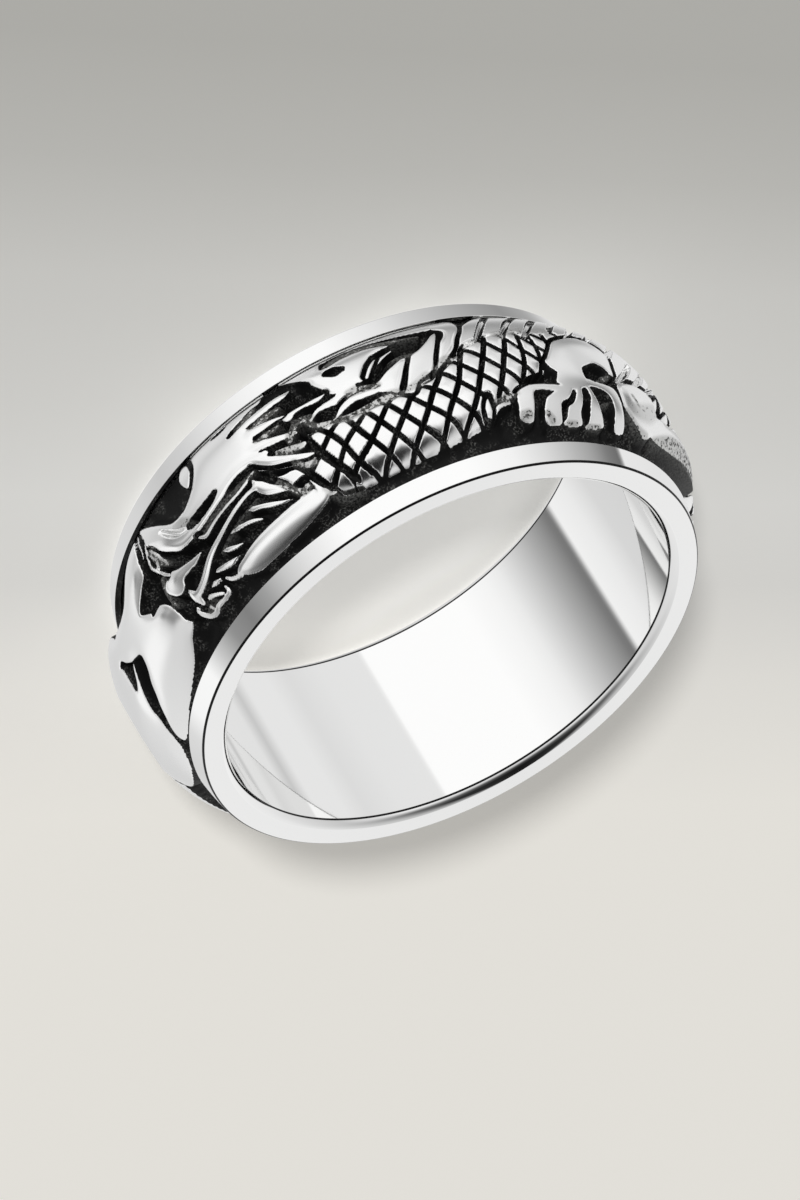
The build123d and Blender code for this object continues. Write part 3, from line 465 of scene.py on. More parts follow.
# Rough or satin places. Columns: angle, across, half width, how worn (share)
PATCHES = {
    "leg_1": ((-171, 0.44, 0.05, 0.5), (-176, 0.40, 0.10, 0.55), (-182, 0.36, 0.12, 0.6)),
    "leg_2": (
        (-165, 0.76, 0.05, 0.6), (-174, 0.66, 0.12, 0.75), (-182, 0.60, 0.14, 0.8),
        (-192, 0.46, 0.14, 0.8),
    ),
    "jaw_root": ((-83.6, 0.53, 0.05, 0.85), (-81.6, 0.52, 0.05, 0.85), (-79, 0.27, 0.04, 0.7)),
    "neck_root": ((-87.2, 0.34, 0.04, 0.8), (-85.4, 0.32, 0.05, 0.8), (-83.6, 0.2, 0.04, 0.75)),
    "whiskers": ((-50.6, -0.06, 0.05, 0.7), (-48.6, -0.22, 0.06, 0.75), (-48, -0.4, 0.05, 0.75)),
    "tongue_tip": ((-47.2, 0.0, 0.04, 0.7), (-46.4, 0.14, 0.04, 0.7), (-46.4, 0.36, 0.04, 0.75)),
    "lip_side": (
        (-76, -0.05, 0.03, 0.55), (-72, -0.03, 0.045, 0.66), (-68, 0.02, 0.045, 0.66),
        (-64, 0.07, 0.035, 0.66), (-61, 0.1, 0.03, 0.55),
    ),
    "gum": (
        (-74, 0.26, 0.03, 0.5), (-70, 0.3, 0.035, 0.5), (-66, 0.36, 0.035, 0.5),
        (-62, 0.44, 0.03, 0.5),
    ),
    "ground": ((-86, 0.66, 0.04, 0.5), (-87.6, 0.84, 0.05, 0.5), (-92, 0.9, 0.04, 0.5)),
    "horn_gap_1": ((-84.6, -0.36, 0.03, 0.8), (-81.5, -0.35, 0.05, 0.9), (-79.6, -0.35, 0.04, 0.8)),
    "horn_gap_2": ((-86, -0.58, 0.05, 0.75), (-82.5, -0.57, 0.06, 0.85), (-79.6, -0.56, 0.03, 0.8)),
    "horn_gap_3": ((-81.6, -0.84, 0.04, 0.8), (-79.4, -0.75, 0.05, 0.9), (-77, -0.70, 0.04, 0.8)),
    "throat_side": ((-90.4, -0.22, 0.06, 0.75), (-87.6, -0.25, 0.06, 0.75), (-85, -0.1, 0.05, 0.8)),
    "nail_1": ((-129.6, 0.715, 0.055, 0.72), (-128.4, 0.725, 0.055, 0.72)),
    "nail_2": ((-134.8, 0.79, 0.045, 0.7), (-134, 0.72, 0.035, 0.7)),
    "nail_3": ((-140.6, 0.83, 0.03, 0.7), (-138.6, 0.83, 0.03, 0.7)),
    "nail_4": ((-147, 0.84, 0.03, 0.7), (-143.6, 0.85, 0.03, 0.7)),
    "bump": ((-151.4, 0.52, 0.03, 0.7), (-149.8, 0.53, 0.03, 0.7)),
    "hole_rim": ((-155.4, 0.07, 0.05, 0.8), (-153.4, 0.12, 0.05, 0.8)),
    "mane": ((-86, 0.04, 0.07, 0.6), (-83.6, 0.02, 0.06, 0.8), (-81.6, -0.04, 0.03, 0.8)),
    "nose": ((-60, -0.16, 0.05, 0.5), (-58.6, -0.22, 0.06, 0.6), (-57, -0.26, 0.04, 0.4)),
    "lower_scales": (
        (-113.4, -0.04, 0.06, 0.5), (-109.4, 0.05, 0.05, 0.55), (-105, 0.03, 0.07, 0.76),
        (-101, 0.05, 0.07, 0.7), (-97.4, 0.06, 0.07, 0.76), (-93.6, 0.0, 0.05, 0.7),
        (-90.6, -0.08, 0.05, 0.7), (-89.4, -0.2, 0.06, 0.7),
    ),
    "limb_root": ((-104, -0.17, 0.06, 0.72), (-101.5, -0.22, 0.07, 0.78), (-99, -0.22, 0.06, 0.72)),
    "under_limb": (
        (-117, -0.70, 0.03, 0.6), (-112, -0.76, 0.05, 0.72), (-107, -0.84, 0.06, 0.74),
        (-102, -0.87, 0.06, 0.74), (-98.5, -0.83, 0.05, 0.72), (-97.2, -0.77, 0.03, 0.6),
    ),
    "pocket": ((-114.2, -0.435, 0.03, 0.6), (-111.4, -0.44, 0.05, 0.65), (-108.4, -0.43, 0.02, 0.5)),
    "fin_ends": ((-122, -0.2, 0.03, 0.4), (-118.4, -0.2, 0.05, 0.6), (-115.6, -0.1, 0.04, 0.5)),
    "scale_ends": ((-144, -0.5, 0.06, 0.4), (-138, -0.48, 0.06, 0.5), (-131, -0.44, 0.05, 0.5)),
    "chin": ((-54, 0.72, 0.05, 0.4), (-51.8, 0.75, 0.05, 0.5)),
    "elbow_top": ((-169, 0.3, 0.08, 0.4), (-164, 0.45, 0.12, 0.42), (-160, 0.45, 0.08, 0.4)),
    "elbow_pit": ((-161.9, 0.40, 0.025, 0.7), (-160.9, 0.27, 0.03, 0.72)),
    "elbow_side": ((-163, 0.74, 0.05, 0.55), (-160, 0.68, 0.05, 0.6), (-157.6, 0.5, 0.03, 0.5)),
    "shoulder": ((-128.6, 0.45, 0.04, 0.5), (-126, 0.48, 0.05, 0.8), (-124, 0.5, 0.04, 0.6)),
}

CLAW = ("palm", "toe_1", "toe_2", "toe_3", "toe_4", "toe_5")
FINS = (
    ("fin_3", "bottom_band", "limb", "bar_2"), ("fin_2",), ("fin_1", "bar_1"), ("bar_3",),
    ("pocket_line_1",), ("pocket_line_2",), ("limb_eye",),
)
LIMBS = (("elbow", "leg"), ("claw_bump",), ("claw_bead",), CLAW, ("palm_hole",))


def alone(*names):
    """Layers of one form each, in their own place."""
    return tuple((0, (name,)) for name in names)


# The forms in the order in which they lie on each other. Columns: turn of the
# group round the ring in degrees, and the forms that are joined in it
LAYERS = (
    *alone("belly", "body", "notch"),
    *alone(*(name for name in CUTS if name.startswith("belly"))),
    *((turn, names) for turn in (-94, 0) for names in FINS),
    (-124, ("fin_3",)), (-124, ("fin_2",)),
    *((turn, names) for turn in (-124, 0) for names in LIMBS),
    *alone("throat", "neck", "nape", "hollow", "strand", "blade", "curl"),
    *alone("mane_lobe", "mane_3", "mane_2", "tooth_1", "tooth_2", "tooth_3", "tooth_4", "tooth_5"),
    (0, ("cheek", "neck_edge", "cheek_end")),
    (0, ("skull", "muzzle", "lip", "mane_1", "horn_1", "horn_2", "horn_3")),
    *alone("brow", "nose_line", "horn_groove", "temple", "eye", "lip_edge"),
    (0, ("chin_arc", "chin_rib")), *alone("tongue"), (0, ("jaw_stem", "jaw", "jaw_knob")),
    *alone("tail_3", "tail_2", "tail_1", "tail_4"), (0, ("flame", "flame_fork")),
    (0, ("whisker_1", "whisker_2", "whisker_3", "whisker_4", "whisker_5")),
)

# How the forms were drawn: their lines lie where a view from one side shows
# the tops, and are moved from there to their true places
SEEN_FROM = -90            # angle of that view
SEEN_REACH = 70            # degrees either side of it in which lines are moved in full
SEEN_END = 92              # degrees from which they aren't moved
SEEN_TOP = 0.85            # share of the relief's height that needs no move
SEEN_SLOPE = 0.657         # move across the band in that view, for each length of height

# Sections of the relief's forms, in millimetres where they are lengths
MARGIN = 0.3               # how far round a form its dark line may reach
FAR_OUT = 9.0              # stands for any distance beyond that reach
BODY_REACH = 2.4           # how far from its middle line the snaking body may reach
BODY_PIECES = 8            # pieces of its line between two points of the table
THINNEST = 0.02            # least half width of a line
WALL = 0.05                # width of the wall round a form, outside its outline
ROPE_TILT = 0.35           # slope of a rope's top at its edge
PAD_TILT = 0.5             # the same on a pad
PAD_PUFF = 0.03            # height over a pad's own at which its line was drawn (share)
PUFF_RADIUS = 0.45         # blur that finds the middle of a pad
PUFF_START = 0.45          # share of that blur from which it is the middle
DENT_POWER = 4.0           # section of a hollow: 2 is round, more is squarer
DOME_POWER = 3.0           # how flat the domed top is across the band
JOIN_SOFT = 0.07           # rounding where forms of a group run into each other
JOIN_DEPTH = 0.15          # depth inside the outline from which they are rounded in full
OUTLINE_GAP = 0.10         # width of the dark line round a form
FINE_GAP = 0.08            # the same round a fine one
FINE_WIDTH = 0.03          # share of the half width below which a rope is a fine one
OUTLINE_FLOOR = 0.15       # share of the height that stays in that line
CUT_STRENGTH = 1.6         # how much deeper the hollows are than drawn
CUT_DARK = 0.05            # how far outside a deep hollow the black reaches
SHALLOW = 0.5              # depth below which a hollow is only a line in the polish

# Scales and grooves of the snaking body
BODY_POWER = 6.0           # section of the body: 2 is round, more is squarer
SCALE_HEIGHT = 0.90        # across the body, as a share of its half width
SCALE_OFFSET = -0.5        # share of a scale by which they are moved across
SCALE_SAG = 0.025          # share of the height by which a scale falls toward its edge
SCALE_ROUND = 0.35         # width of that fall
SCALE_GROOVE = 0.063       # half width of the black line between scales
GROOVE_DEPTH = 0.42        # share of the height that a groove takes
GROOVE_FLOOR = 0.025       # half width of its floor
GROOVE_WALL = 0.065        # width of its wall
BELLY_WIDTH = 0.5          # as far as a point of the smooth belly counts from a groove

# The black ground, the bright polish and the worn places
BED_SHARE = 0.5            # share of the height from which a point is part of a form
BED_STRENGTH = 1.2         # how steeply the black bed rises toward the forms
BED_REACH = 0.25           # how far out it starts to rise
BED_TOP = 0.6              # share of the height that it reaches
WORN_TOP = 0.88            # share of the height that the ground has in worn places
WORN_FULL = 0.6            # how worn a place is that has all of that height
WORN_REACH = 1.35          # how far a worn place reaches, for each half width
WORN_SOFT = 0.8            # width of its faded edge, the same way
STEEP = 2.4                # slope from which a wall is black: its oxide, with painted shade for the dark that a steep wall reflects
STEEP_WALL_SHADE = 2.0           # how fast that painted shade turns it black beyond that slope
BRIGHT_MARGIN = -0.02      # how far inside its outline a form turns bright (below 0: outside)
FINE_MARGIN = -0.03        # the same on a fine one
BRIGHT_SOFT = 0.015        # softness of the line between bright and black
SHARPNESS = 0.05           # distance over which bright turns to black
DARKEST = 0.15             # distance from that line beyond which nothing changes

# The dragon band is made in stretches that meet. Columns: name, start angle
STRETCHES = (
    ("dragon_claw", -185), ("dragon_head", -95), ("dragon_flame", -20), ("dragon_tail", 85),
)

# The light in each direction round the ring, for six heights. Columns: azimuth
# in degrees, where -90 is behind the camera, and brightness
LEVEL_LIGHT = (
    (-180, 0.50), (-166, 0.75), (-152, 0.95), (-132, 1.05), (-80, 1.05), (-64, 0.84), (-52, 0.62),
    (-41, 0.37), (-30, 0.23), (-19, 0.30), (-8, 0.62), (2, 1.0), (24, 0.98), (37, 0.76), (60, 0.68),
    (90, 0.8), (130, 0.82), (155, 0.86), (156.5, 0.15), (164, 0.22), (172, 0.38), (180, 0.50),
)
LOW_LIGHT = (
    (-180, 0.84), (-168, 0.76), (-150, 0.82), (-128.5, 0.83), (-126.5, 1.05), (-74, 1.05),
    (-58, 0.97), (-50, 0.89), (-39, 0.67), (-27, 0.44), (-12, 0.2), (-9, 0.2), (-6, 0.94),
    (8, 0.88), (24, 0.72), (60, 0.68), (110, 0.8), (148, 0.8), (156, 0.6), (164, 0.84), (180, 0.84),
)
DEEP_LIGHT = (
    (-180, 0.52), (-162, 0.66), (-148, 0.82), (-133, 0.92), (-117, 1.03), (-85, 1.03), (-68, 0.96),
    (-53, 0.89), (-37, 0.77), (-22, 0.66), (-5, 0.6), (19, 0.7), (55, 0.75), (110, 0.7), (130, 0.4),
    (145, 0.31), (157, 0.37), (170, 0.45), (180, 0.52),
)
RAISED_LIGHT = (
    (-180, 0.6), (-155, 0.85), (-140, 1.04), (-48, 1.04), (-30, 0.7), (0, 0.7), (60, 0.85),
    (84, 0.97), (90, 0.86), (96, 0.97), (140, 0.85), (180, 0.6),
)
HIGH_LIGHT = (
    (-180, 0.5), (-150, 0.12), (-90, 0.05), (-30, 0.12), (0, 0.5), (60, 0.85), (84, 0.9), (90, 0.8),
    (96, 0.9), (140, 0.85), (180, 0.5),
)
TOP_LIGHT = (
    (-180, 0.5), (-140, 0.03), (-90, 0.01), (-40, 0.03), (0, 0.5), (60, 0.8), (140, 0.8), (180, 0.5),
)

# The light from straight below up. Columns: the two elevations in degrees
# between which a light takes over from the one below it, and the light
LOWEST_LIGHT = DEEP_LIGHT
HIGHER_LIGHTS = (
    (-42, -36, LOW_LIGHT), (-30, -19, LEVEL_LIGHT), (-5, 8, RAISED_LIGHT), (22, 48, HIGH_LIGHT),
    (46, 60, TOP_LIGHT),
)

# Painted light fall-off on the paper: its tone along the fall-off. Columns: millimetres, and the colour
PAINTED_PAPER_FALLOFF = (
    (-19, (0.80, 0.78, 0.73)), (-11, (0.745, 0.73, 0.69)), (-5, (0.66, 0.652, 0.625)),
    (0, (0.665, 0.66, 0.635)), (5, (0.62, 0.615, 0.59)), (12, (0.575, 0.57, 0.545)),
    (18, (0.485, 0.48, 0.455)), (24, (0.435, 0.43, 0.405)),
)


class ReliefSheet:
    """The dragon band's outer face laid flat, in millimetres, with what each point of it has.

    share is the height as a share of the relief's, bright the distance from the
    line between black and bright, and worn how rough the point is.
    """

    def __init__(self, sizes):
        self.half_width = sizes.half_width / MM
        self.ground = sizes.ground_radius / MM
        self.edge = sizes.edge_height / MM
        self.crown = sizes.crown_height / MM
        self.middle = self.ground + self.crown / 2
        self.whole = 2 * math.pi * self.middle
        self.around = int(round(self.whole / (sizes.cell / MM)))
        self.across = 2 * int(round(sizes.half_width / sizes.cell))
        self.step = self.whole / self.around
        self.x = np.arange(self.around) * self.step
        self.y = np.linspace(-self.half_width, self.half_width, self.across + 1)
        self.share = np.zeros((self.around, self.across + 1))
        self.bright = np.full(self.share.shape, -DARKEST)
        self.worn = np.zeros(self.share.shape)

    def blur(self, field, radius):
        """A soft blur that is closed round the ring and mirrored at the band's two edges."""
        both = np.hstack([field, field[:, ::-1]])
        turns_x = np.fft.fftfreq(both.shape[0], self.step)
        turns_y = np.fft.rfftfreq(both.shape[1], 2 * self.half_width / self.across)
        gain = np.exp(-2 * (math.pi * radius) ** 2 * (turns_x[:, None] ** 2 + turns_y[None, :] ** 2))
        return np.fft.irfft2(np.fft.rfft2(both) * gain, both.shape)[:, : field.shape[1]]

    def window(self, line, reach):
        """The part of the sheet near a line, its flat coordinates, and the line's own."""
        x = np.radians(line[:, 0]) * self.middle
        y = line[:, 1] * self.half_width
        centre = (x.min() + x.max()) / 2
        turned = centre + (self.x - centre + self.whole / 2) % self.whole - self.whole / 2
        rows = np.flatnonzero((turned > x.min() - reach) & (turned < x.max() + reach))
        columns = np.flatnonzero((self.y > y.min() - reach) & (self.y < y.max() + reach))
        flat_x, flat_y = np.meshgrid(turned[rows], self.y[columns], indexing="ij")
        return np.ix_(rows, columns), flat_x, flat_y, x, y


WHOLE_SHEET = (slice(None), slice(None))    # a window that takes all of it


def eased(value):
    """A soft step from 0 to 1 as the value goes from 0 to 1."""
    value = np.clip(value, 0, 1)
    return value * value * (3 - 2 * value)


def smooth_line(rows, closed=False, pieces=6):
    """Points on a smooth line through the rows, with every column carried along."""
    table = np.array(rows, float)
    if closed:
        before, here = np.roll(table, 1, 0), table
        after, beyond = np.roll(table, -1, 0), np.roll(table, -2, 0)
    else:
        here, after = table[:-1], table[1:]
        before = np.vstack([table[:1], table[:-2]])
        beyond = np.vstack([table[2:], table[-1:]])
    t = (np.arange(pieces) / pieces)[None, :, None]
    a, b, c, d = (block[:, None, :] for block in (before, here, after, beyond))
    line = 0.5 * (
        2 * b + (c - a) * t + (2 * a - 5 * b + 4 * c - d) * t**2 + (3 * b - a - 3 * c + d) * t**3
    )
    end = table[:1] if closed else table[-1:]
    return np.vstack([line.reshape(-1, table.shape[1]), end])


def nearest(flat_x, flat_y, x, y, columns):
    """Distance to the line, side of it, and the line's columns at its nearest point."""
    best = np.full(flat_x.shape, np.inf)
    side = np.zeros(flat_x.shape)
    values = np.zeros(flat_x.shape + (columns.shape[1],))
    for i in range(len(x) - 1):
        dx, dy = x[i + 1] - x[i], y[i + 1] - y[i]
        if dx == dy == 0:
            continue
        t = np.clip(((flat_x - x[i]) * dx + (flat_y - y[i]) * dy) / math.hypot(dx, dy) ** 2, 0, 1)
        away = np.hypot(flat_x - x[i] - t * dx, flat_y - y[i] - t * dy)
        near = away < best
        best = np.where(near, away, best)
        side = np.where(near, np.sign((flat_x - x[i]) * dy - (flat_y - y[i]) * dx), side)
        here = columns[i] + (columns[i + 1] - columns[i]) * t[..., None]
        values = np.where(near[..., None], here, values)
    return best, side, values


def is_inside(flat_x, flat_y, x, y):
    """Which points lie inside a closed line."""
    found = np.zeros(flat_x.shape, bool)
    for i in range(len(x) - 1):
        if y[i] == y[i + 1]:
            continue
        crosses = (y[i] > flat_y) != (y[i + 1] > flat_y)
        found ^= crosses & (flat_x < (x[i + 1] - x[i]) * (flat_y - y[i]) / (y[i + 1] - y[i]) + x[i])
    return found


def laid(sheet, rows, turn=0, top=1.0):
    """Moves a line from where the side view shows it to where it lies on a form's top."""
    table = np.array(rows, float)
    off = table[:, 0] - SEEN_FROM
    turned = np.radians(np.clip(off, -SEEN_REACH, SEEN_REACH))
    fade = eased((SEEN_END - np.abs(off)) / (SEEN_END - SEEN_REACH))
    dome = 1 - np.clip(np.abs(table[:, 1]), 0, 1) ** DOME_POWER
    rise = (top - SEEN_TOP) * sheet.crown * fade * dome
    table[:, 0] += turn - np.degrees(rise * np.tan(turned) / sheet.middle)
    table[:, 1] += rise * SEEN_SLOPE / np.cos(turned) / sheet.half_width
    return table


def beside(sheet, rows, turn, top):
    """Along a smooth line: the window, the distance from it, and its half width and height."""
    line = smooth_line(laid(sheet, rows, turn, top))
    reach = line[:, 2].max() * sheet.half_width + MARGIN
    window, flat_x, flat_y, x, y = sheet.window(line, reach)
    away, _, values = nearest(flat_x, flat_y, x, y, line[:, 2:4])
    width = np.maximum(values[..., 0] * sheet.half_width, THINNEST)
    return window, away, width, values[..., 1]


def steep_wall(outside):
    """The height just outside a form: a quarter round that ends at the wall's foot."""
    return np.sqrt(1 - np.clip(outside / WALL, 0, 1) ** 2)


def rope(sheet, rows, turn=0):
    """A ridge with a gently rounded top that swells and tapers: window, height, distance outside it."""
    tops = np.array(rows)[:, 3]
    window, away, width, top = beside(sheet, rows, turn, tops)
    sag = ROPE_TILT * np.minimum(away, width) ** 2 / (2 * width * sheet.crown)
    return window, (top - sag) * steep_wall(away - width), away - width


def pads(sheet, names, turn=0):
    """Smooth raised forms inside closed outlines, joined in one, fuller toward its middle."""
    outside = np.full(sheet.share.shape, FAR_OUT)
    for name in names:
        across = np.array(PADS[name])[:, 1]
        tops = PAD_SHAPE[name][0] + PAD_PUFF + LEAN.get(name, 0) * (across - across.mean())
        line = smooth_line(laid(sheet, PADS[name], turn, np.minimum(tops, 1)), True)
        window, flat_x, flat_y, x, y = sheet.window(line, MARGIN)
        away = nearest(flat_x, flat_y, x, y, line[:, :1])[0]
        signed = np.where(is_inside(flat_x, flat_y, x, y), -away, away)
        outside[window] = np.minimum(outside[window], signed)
    top, bevel = np.mean([PAD_SHAPE[name] for name in names], 0)
    within = outside < WALL
    rounding = bevel * sheet.half_width
    fallen = 1 - np.clip(-outside / rounding, 0, 1)
    edge = 1 - PAD_TILT * rounding / (2 * sheet.crown) * fallen**2
    fullness = eased((sheet.blur(within * 1.0, PUFF_RADIUS) - PUFF_START) / (1 - PUFF_START))
    middle = np.mean([row[1] for row in PADS[names[0]]])
    lean = LEAN.get(names[0], 0) * (sheet.y / sheet.half_width - middle)
    height = ((top + lean) * edge + (1 - top) * fullness) * steep_wall(outside)
    return WHOLE_SHEET, np.where(within, np.minimum(height, 1.0), 0), outside


def forms_of(sheet, names, turn):
    """The forms of one group: its pads as one, and each of its ropes."""
    flat = [name for name in names if name in PADS]
    joined = [pads(sheet, flat, turn)] if flat else []
    return joined + [rope(sheet, ROPES[name], turn) for name in names if name in ROPES]


def edge_of(name):
    """The width of the dark line round a form, and where the form turns bright."""
    fine = name in ROPES and max(row[2] for row in ROPES[name]) < FINE_WIDTH
    gap, margin = (FINE_GAP, FINE_MARGIN) if fine else (OUTLINE_GAP, BRIGHT_MARGIN)
    return GAPS.get(name, gap), margin


def lay(sheet, forms, gap, margin):
    """Lays forms that are joined over what is there, with a dark line round them."""
    height = np.zeros(sheet.share.shape)
    outside = np.full(sheet.share.shape, FAR_OUT)
    for window, form_height, form_outside in forms:
        height[window] = np.maximum(height[window], form_height)
        outside[window] = np.minimum(outside[window], form_outside)
    if len(forms) > 1:
        softened = eased(-outside / JOIN_DEPTH)
        height += softened * (sheet.blur(height, JOIN_SOFT) - height)
    dim = OUTLINE_FLOOR + (1 - OUTLINE_FLOOR) * eased((outside - WALL) / gap)
    over = np.maximum(height, sheet.share * OUTLINE_FLOOR)
    sheet.share = np.where(outside < WALL, over, sheet.share * dim)
    around = np.where(outside < gap, np.minimum(sheet.bright, outside - gap), sheet.bright)
    sheet.bright = np.where(outside < 0, -outside - margin, around)


def carve(sheet, rows, turn=0):
    """Cuts a round-edged trough along a smooth line, black where it is deep."""
    window, away, width, depth = beside(sheet, rows, turn, 1.0)
    across = np.clip(away / (width + WALL), 0, 1)
    section = depth * np.sqrt(1 - across**DENT_POWER)
    sheet.share[window] *= 1 - np.clip(CUT_STRENGTH * section, 0, 1)
    if max(row[3] for row in rows) > SHALLOW:
        sheet.bright[window] = np.minimum(sheet.bright[window], away - width - CUT_DARK)


def wear(sheet, rows):
    """Marks a rough or satin place along a smooth line."""
    window, away, width, level = beside(sheet, rows, 0, 1.0)
    faded = eased(away / (WORN_SOFT * width) + 1 - WORN_REACH / WORN_SOFT)
    sheet.worn[window] = np.maximum(sheet.worn[window], level * (1 - faded))


def scales_passed(sheet):
    """The line of the scales, with the count of those passed, to a hundredth, in place of their length."""
    line = np.array(SCALE_LINE, float)
    x, y = np.radians(line[:, 0]) * sheet.middle, line[:, 1] * sheet.half_width
    passed = np.hypot(np.diff(x), np.diff(y)) / line[1:, 2]
    line[:, 2] = np.round(SCALE_START + np.append(0, np.cumsum(passed)), 2)
    return line


def scaly_body(sheet):
    """The snaking body with its rhombic scales."""
    line = smooth_line(laid(sheet, BODY), pieces=BODY_PIECES)
    window, flat_x, flat_y, x, y = sheet.window(line, BODY_REACH)
    away, _, values = nearest(flat_x, flat_y, x, y, line[:, 2:4])
    width = np.maximum(values[..., 0] * sheet.half_width, THINNEST)
    over = np.clip(away / width, 0, 1)
    rows = smooth_line(laid(sheet, scales_passed(sheet)), pieces=BODY_PIECES)
    rows_x, rows_y = np.radians(rows[:, 0]) * sheet.middle, rows[:, 1] * sheet.half_width
    off, side, passed = nearest(flat_x, flat_y, rows_x, rows_y, rows[:, 2:])
    tall = SCALE_HEIGHT * width
    along = passed[..., 0]
    across = side * off / tall + SCALE_OFFSET
    slope = np.hypot(1 / SCALE_LENGTH, 1 / tall)
    a, b = along + across, along - across
    groove = np.minimum(np.abs(a - np.round(a)), np.abs(b - np.round(b))) / slope
    belly = np.interp(np.degrees(flat_x / sheet.middle), *laid(sheet, BELLY_LINE).T) * sheet.half_width
    groove = np.where(flat_y < belly, BELLY_WIDTH, groove)
    height = values[..., 1] * np.sqrt(np.clip(1 - over**BODY_POWER, 0, 1))
    height = height * (1 - SCALE_SAG * (1 - eased(groove / SCALE_ROUND)))
    height = height * (1 - GROOVE_DEPTH * (1 - eased((groove - GROOVE_FLOOR) / GROOVE_WALL)))
    bright = np.minimum(groove - SCALE_GROOVE, width - away - BRIGHT_MARGIN)
    within = away < width
    scaly = within & (flat_y > belly)
    below = np.maximum(sheet.share[window], np.where(within, height, 0))
    sheet.share[window] = np.where(scaly, height, below)
    below = np.maximum(sheet.bright[window], np.where(within, bright, -DARKEST))
    sheet.bright[window] = np.where(scaly, bright, below)


def model_relief(sizes):
    """The whole relief: the sheet, its height in millimetres, and how bright it is, with painted shade that
    blackens its steep walls.
    """
    sheet = ReliefSheet(sizes)
    for turn, names in LAYERS:
        if names == ("body",):
            scaly_body(sheet)
        elif names[0] in CUTS:
            carve(sheet, CUTS[names[0]], turn)
        else:
            lay(sheet, forms_of(sheet, names, turn), *edge_of(names[0]))
    for rows in PATCHES.values():
        wear(sheet, rows)
    forms = (sheet.share > BED_SHARE) * 1.0
    bed = np.minimum(BED_STRENGTH * sheet.blur(forms, BED_REACH), BED_TOP)
    bed += (WORN_TOP - bed) * eased(sheet.worn / WORN_FULL)
    sheet.share = sheet.blur(np.maximum(sheet.share, bed), sizes.softness / MM)
    across = sheet.y / sheet.half_width
    dome = sheet.edge + (sheet.crown - sheet.edge) * (1 - np.abs(across) ** DOME_POWER)
    height = sheet.share * dome[None, :]
    rise = np.hypot(*np.gradient(sheet.share, sheet.step, sheet.y[1] - sheet.y[0])) * dome
    bright = sheet.blur(np.clip(sheet.bright, -DARKEST, DARKEST), BRIGHT_SOFT) / SHARPNESS
    # Beyond a slope the walls are blackened: painted shade for the dark that steep polished walls reflect,
    # over their oxide.
    return sheet, height, bright - STEEP_WALL_SHADE * np.maximum(rise - STEEP, 0)


def ring_points(sheet, height):
    """The relief's points round the ring, in metres, held inside the frame's own box."""
    angle = sheet.x / sheet.middle
    radius = (sheet.ground + height) * MM
    points = np.empty(height.shape + (3,))
    points[..., 0] = radius * np.cos(angle)[:, None]
    points[..., 1] = radius * np.sin(angle)[:, None]
    points[..., 2] = middle_height + sheet.y[None, :] * MM
    for axis in (0, 1):
        points[..., axis] = np.clip(points[..., axis], dragon_low[axis], dragon_high[axis])
    return points


def ring_normals(points):
    """The direction in which the relief faces at each point, the same on both sides of a joint."""
    along = np.roll(points, -1, 0) - np.roll(points, 1, 0)
    across = np.gradient(points, axis=1)
    normals = np.cross(along, across)
    return normals / np.linalg.norm(normals, axis=-1, keepdims=True)


class Value:
    """A socket that takes part in arithmetic: each operator adds a Math node."""

    def __init__(self, recipe, socket):
        self.recipe, self.socket = recipe, socket

    def maths(self, operation, *values):
        """Adds one Math node."""
        sockets = dict(enumerate(values))
        return self.recipe.node("ShaderNodeMath", {"operation": operation}, sockets)

    def __add__(self, other):
        return self.maths("ADD", self, other)

    def __sub__(self, other):
        return self.maths("SUBTRACT", self, other)

    def __rsub__(self, other):
        return self.maths("SUBTRACT", other, self)

    def __mul__(self, other):
        return self.maths("MULTIPLY", self, other)

    def __truediv__(self, other):
        return self.maths("DIVIDE", self, other)

    def __rtruediv__(self, other):
        return self.maths("DIVIDE", other, self)

    def __pow__(self, other):
        return self.maths("POWER", self, other)

    __radd__ = __add__
    __rmul__ = __mul__

    def size(self):
        """The value without its sign."""
        return self.maths("ABSOLUTE", self)

    def least(self, other):
        """The smaller of two values."""
        return self.maths("MINIMUM", self, other)

    def most(self, other):
        """The larger of two values."""
        return self.maths("MAXIMUM", self, other)

    def step(self, low, high, kind="SMOOTHSTEP"):
        """0 below low, 1 above high, and a soft ramp between them."""
        sockets = {"Value": self, "From Min": low, "From Max": high}
        return self.recipe.node("ShaderNodeMapRange", {"interpolation_type": kind}, sockets)

    def within(self, length, low, high):
        """1 below a length and 0 above it, faded between two shares of it."""
        return 1 - (self / length).step(low, high)


# The Mix node's sockets for colours, by number, because several share a name
MIX_FACTOR, MIX_LOW, MIX_HIGH, MIX_RESULT = 0, 6, 7, 2


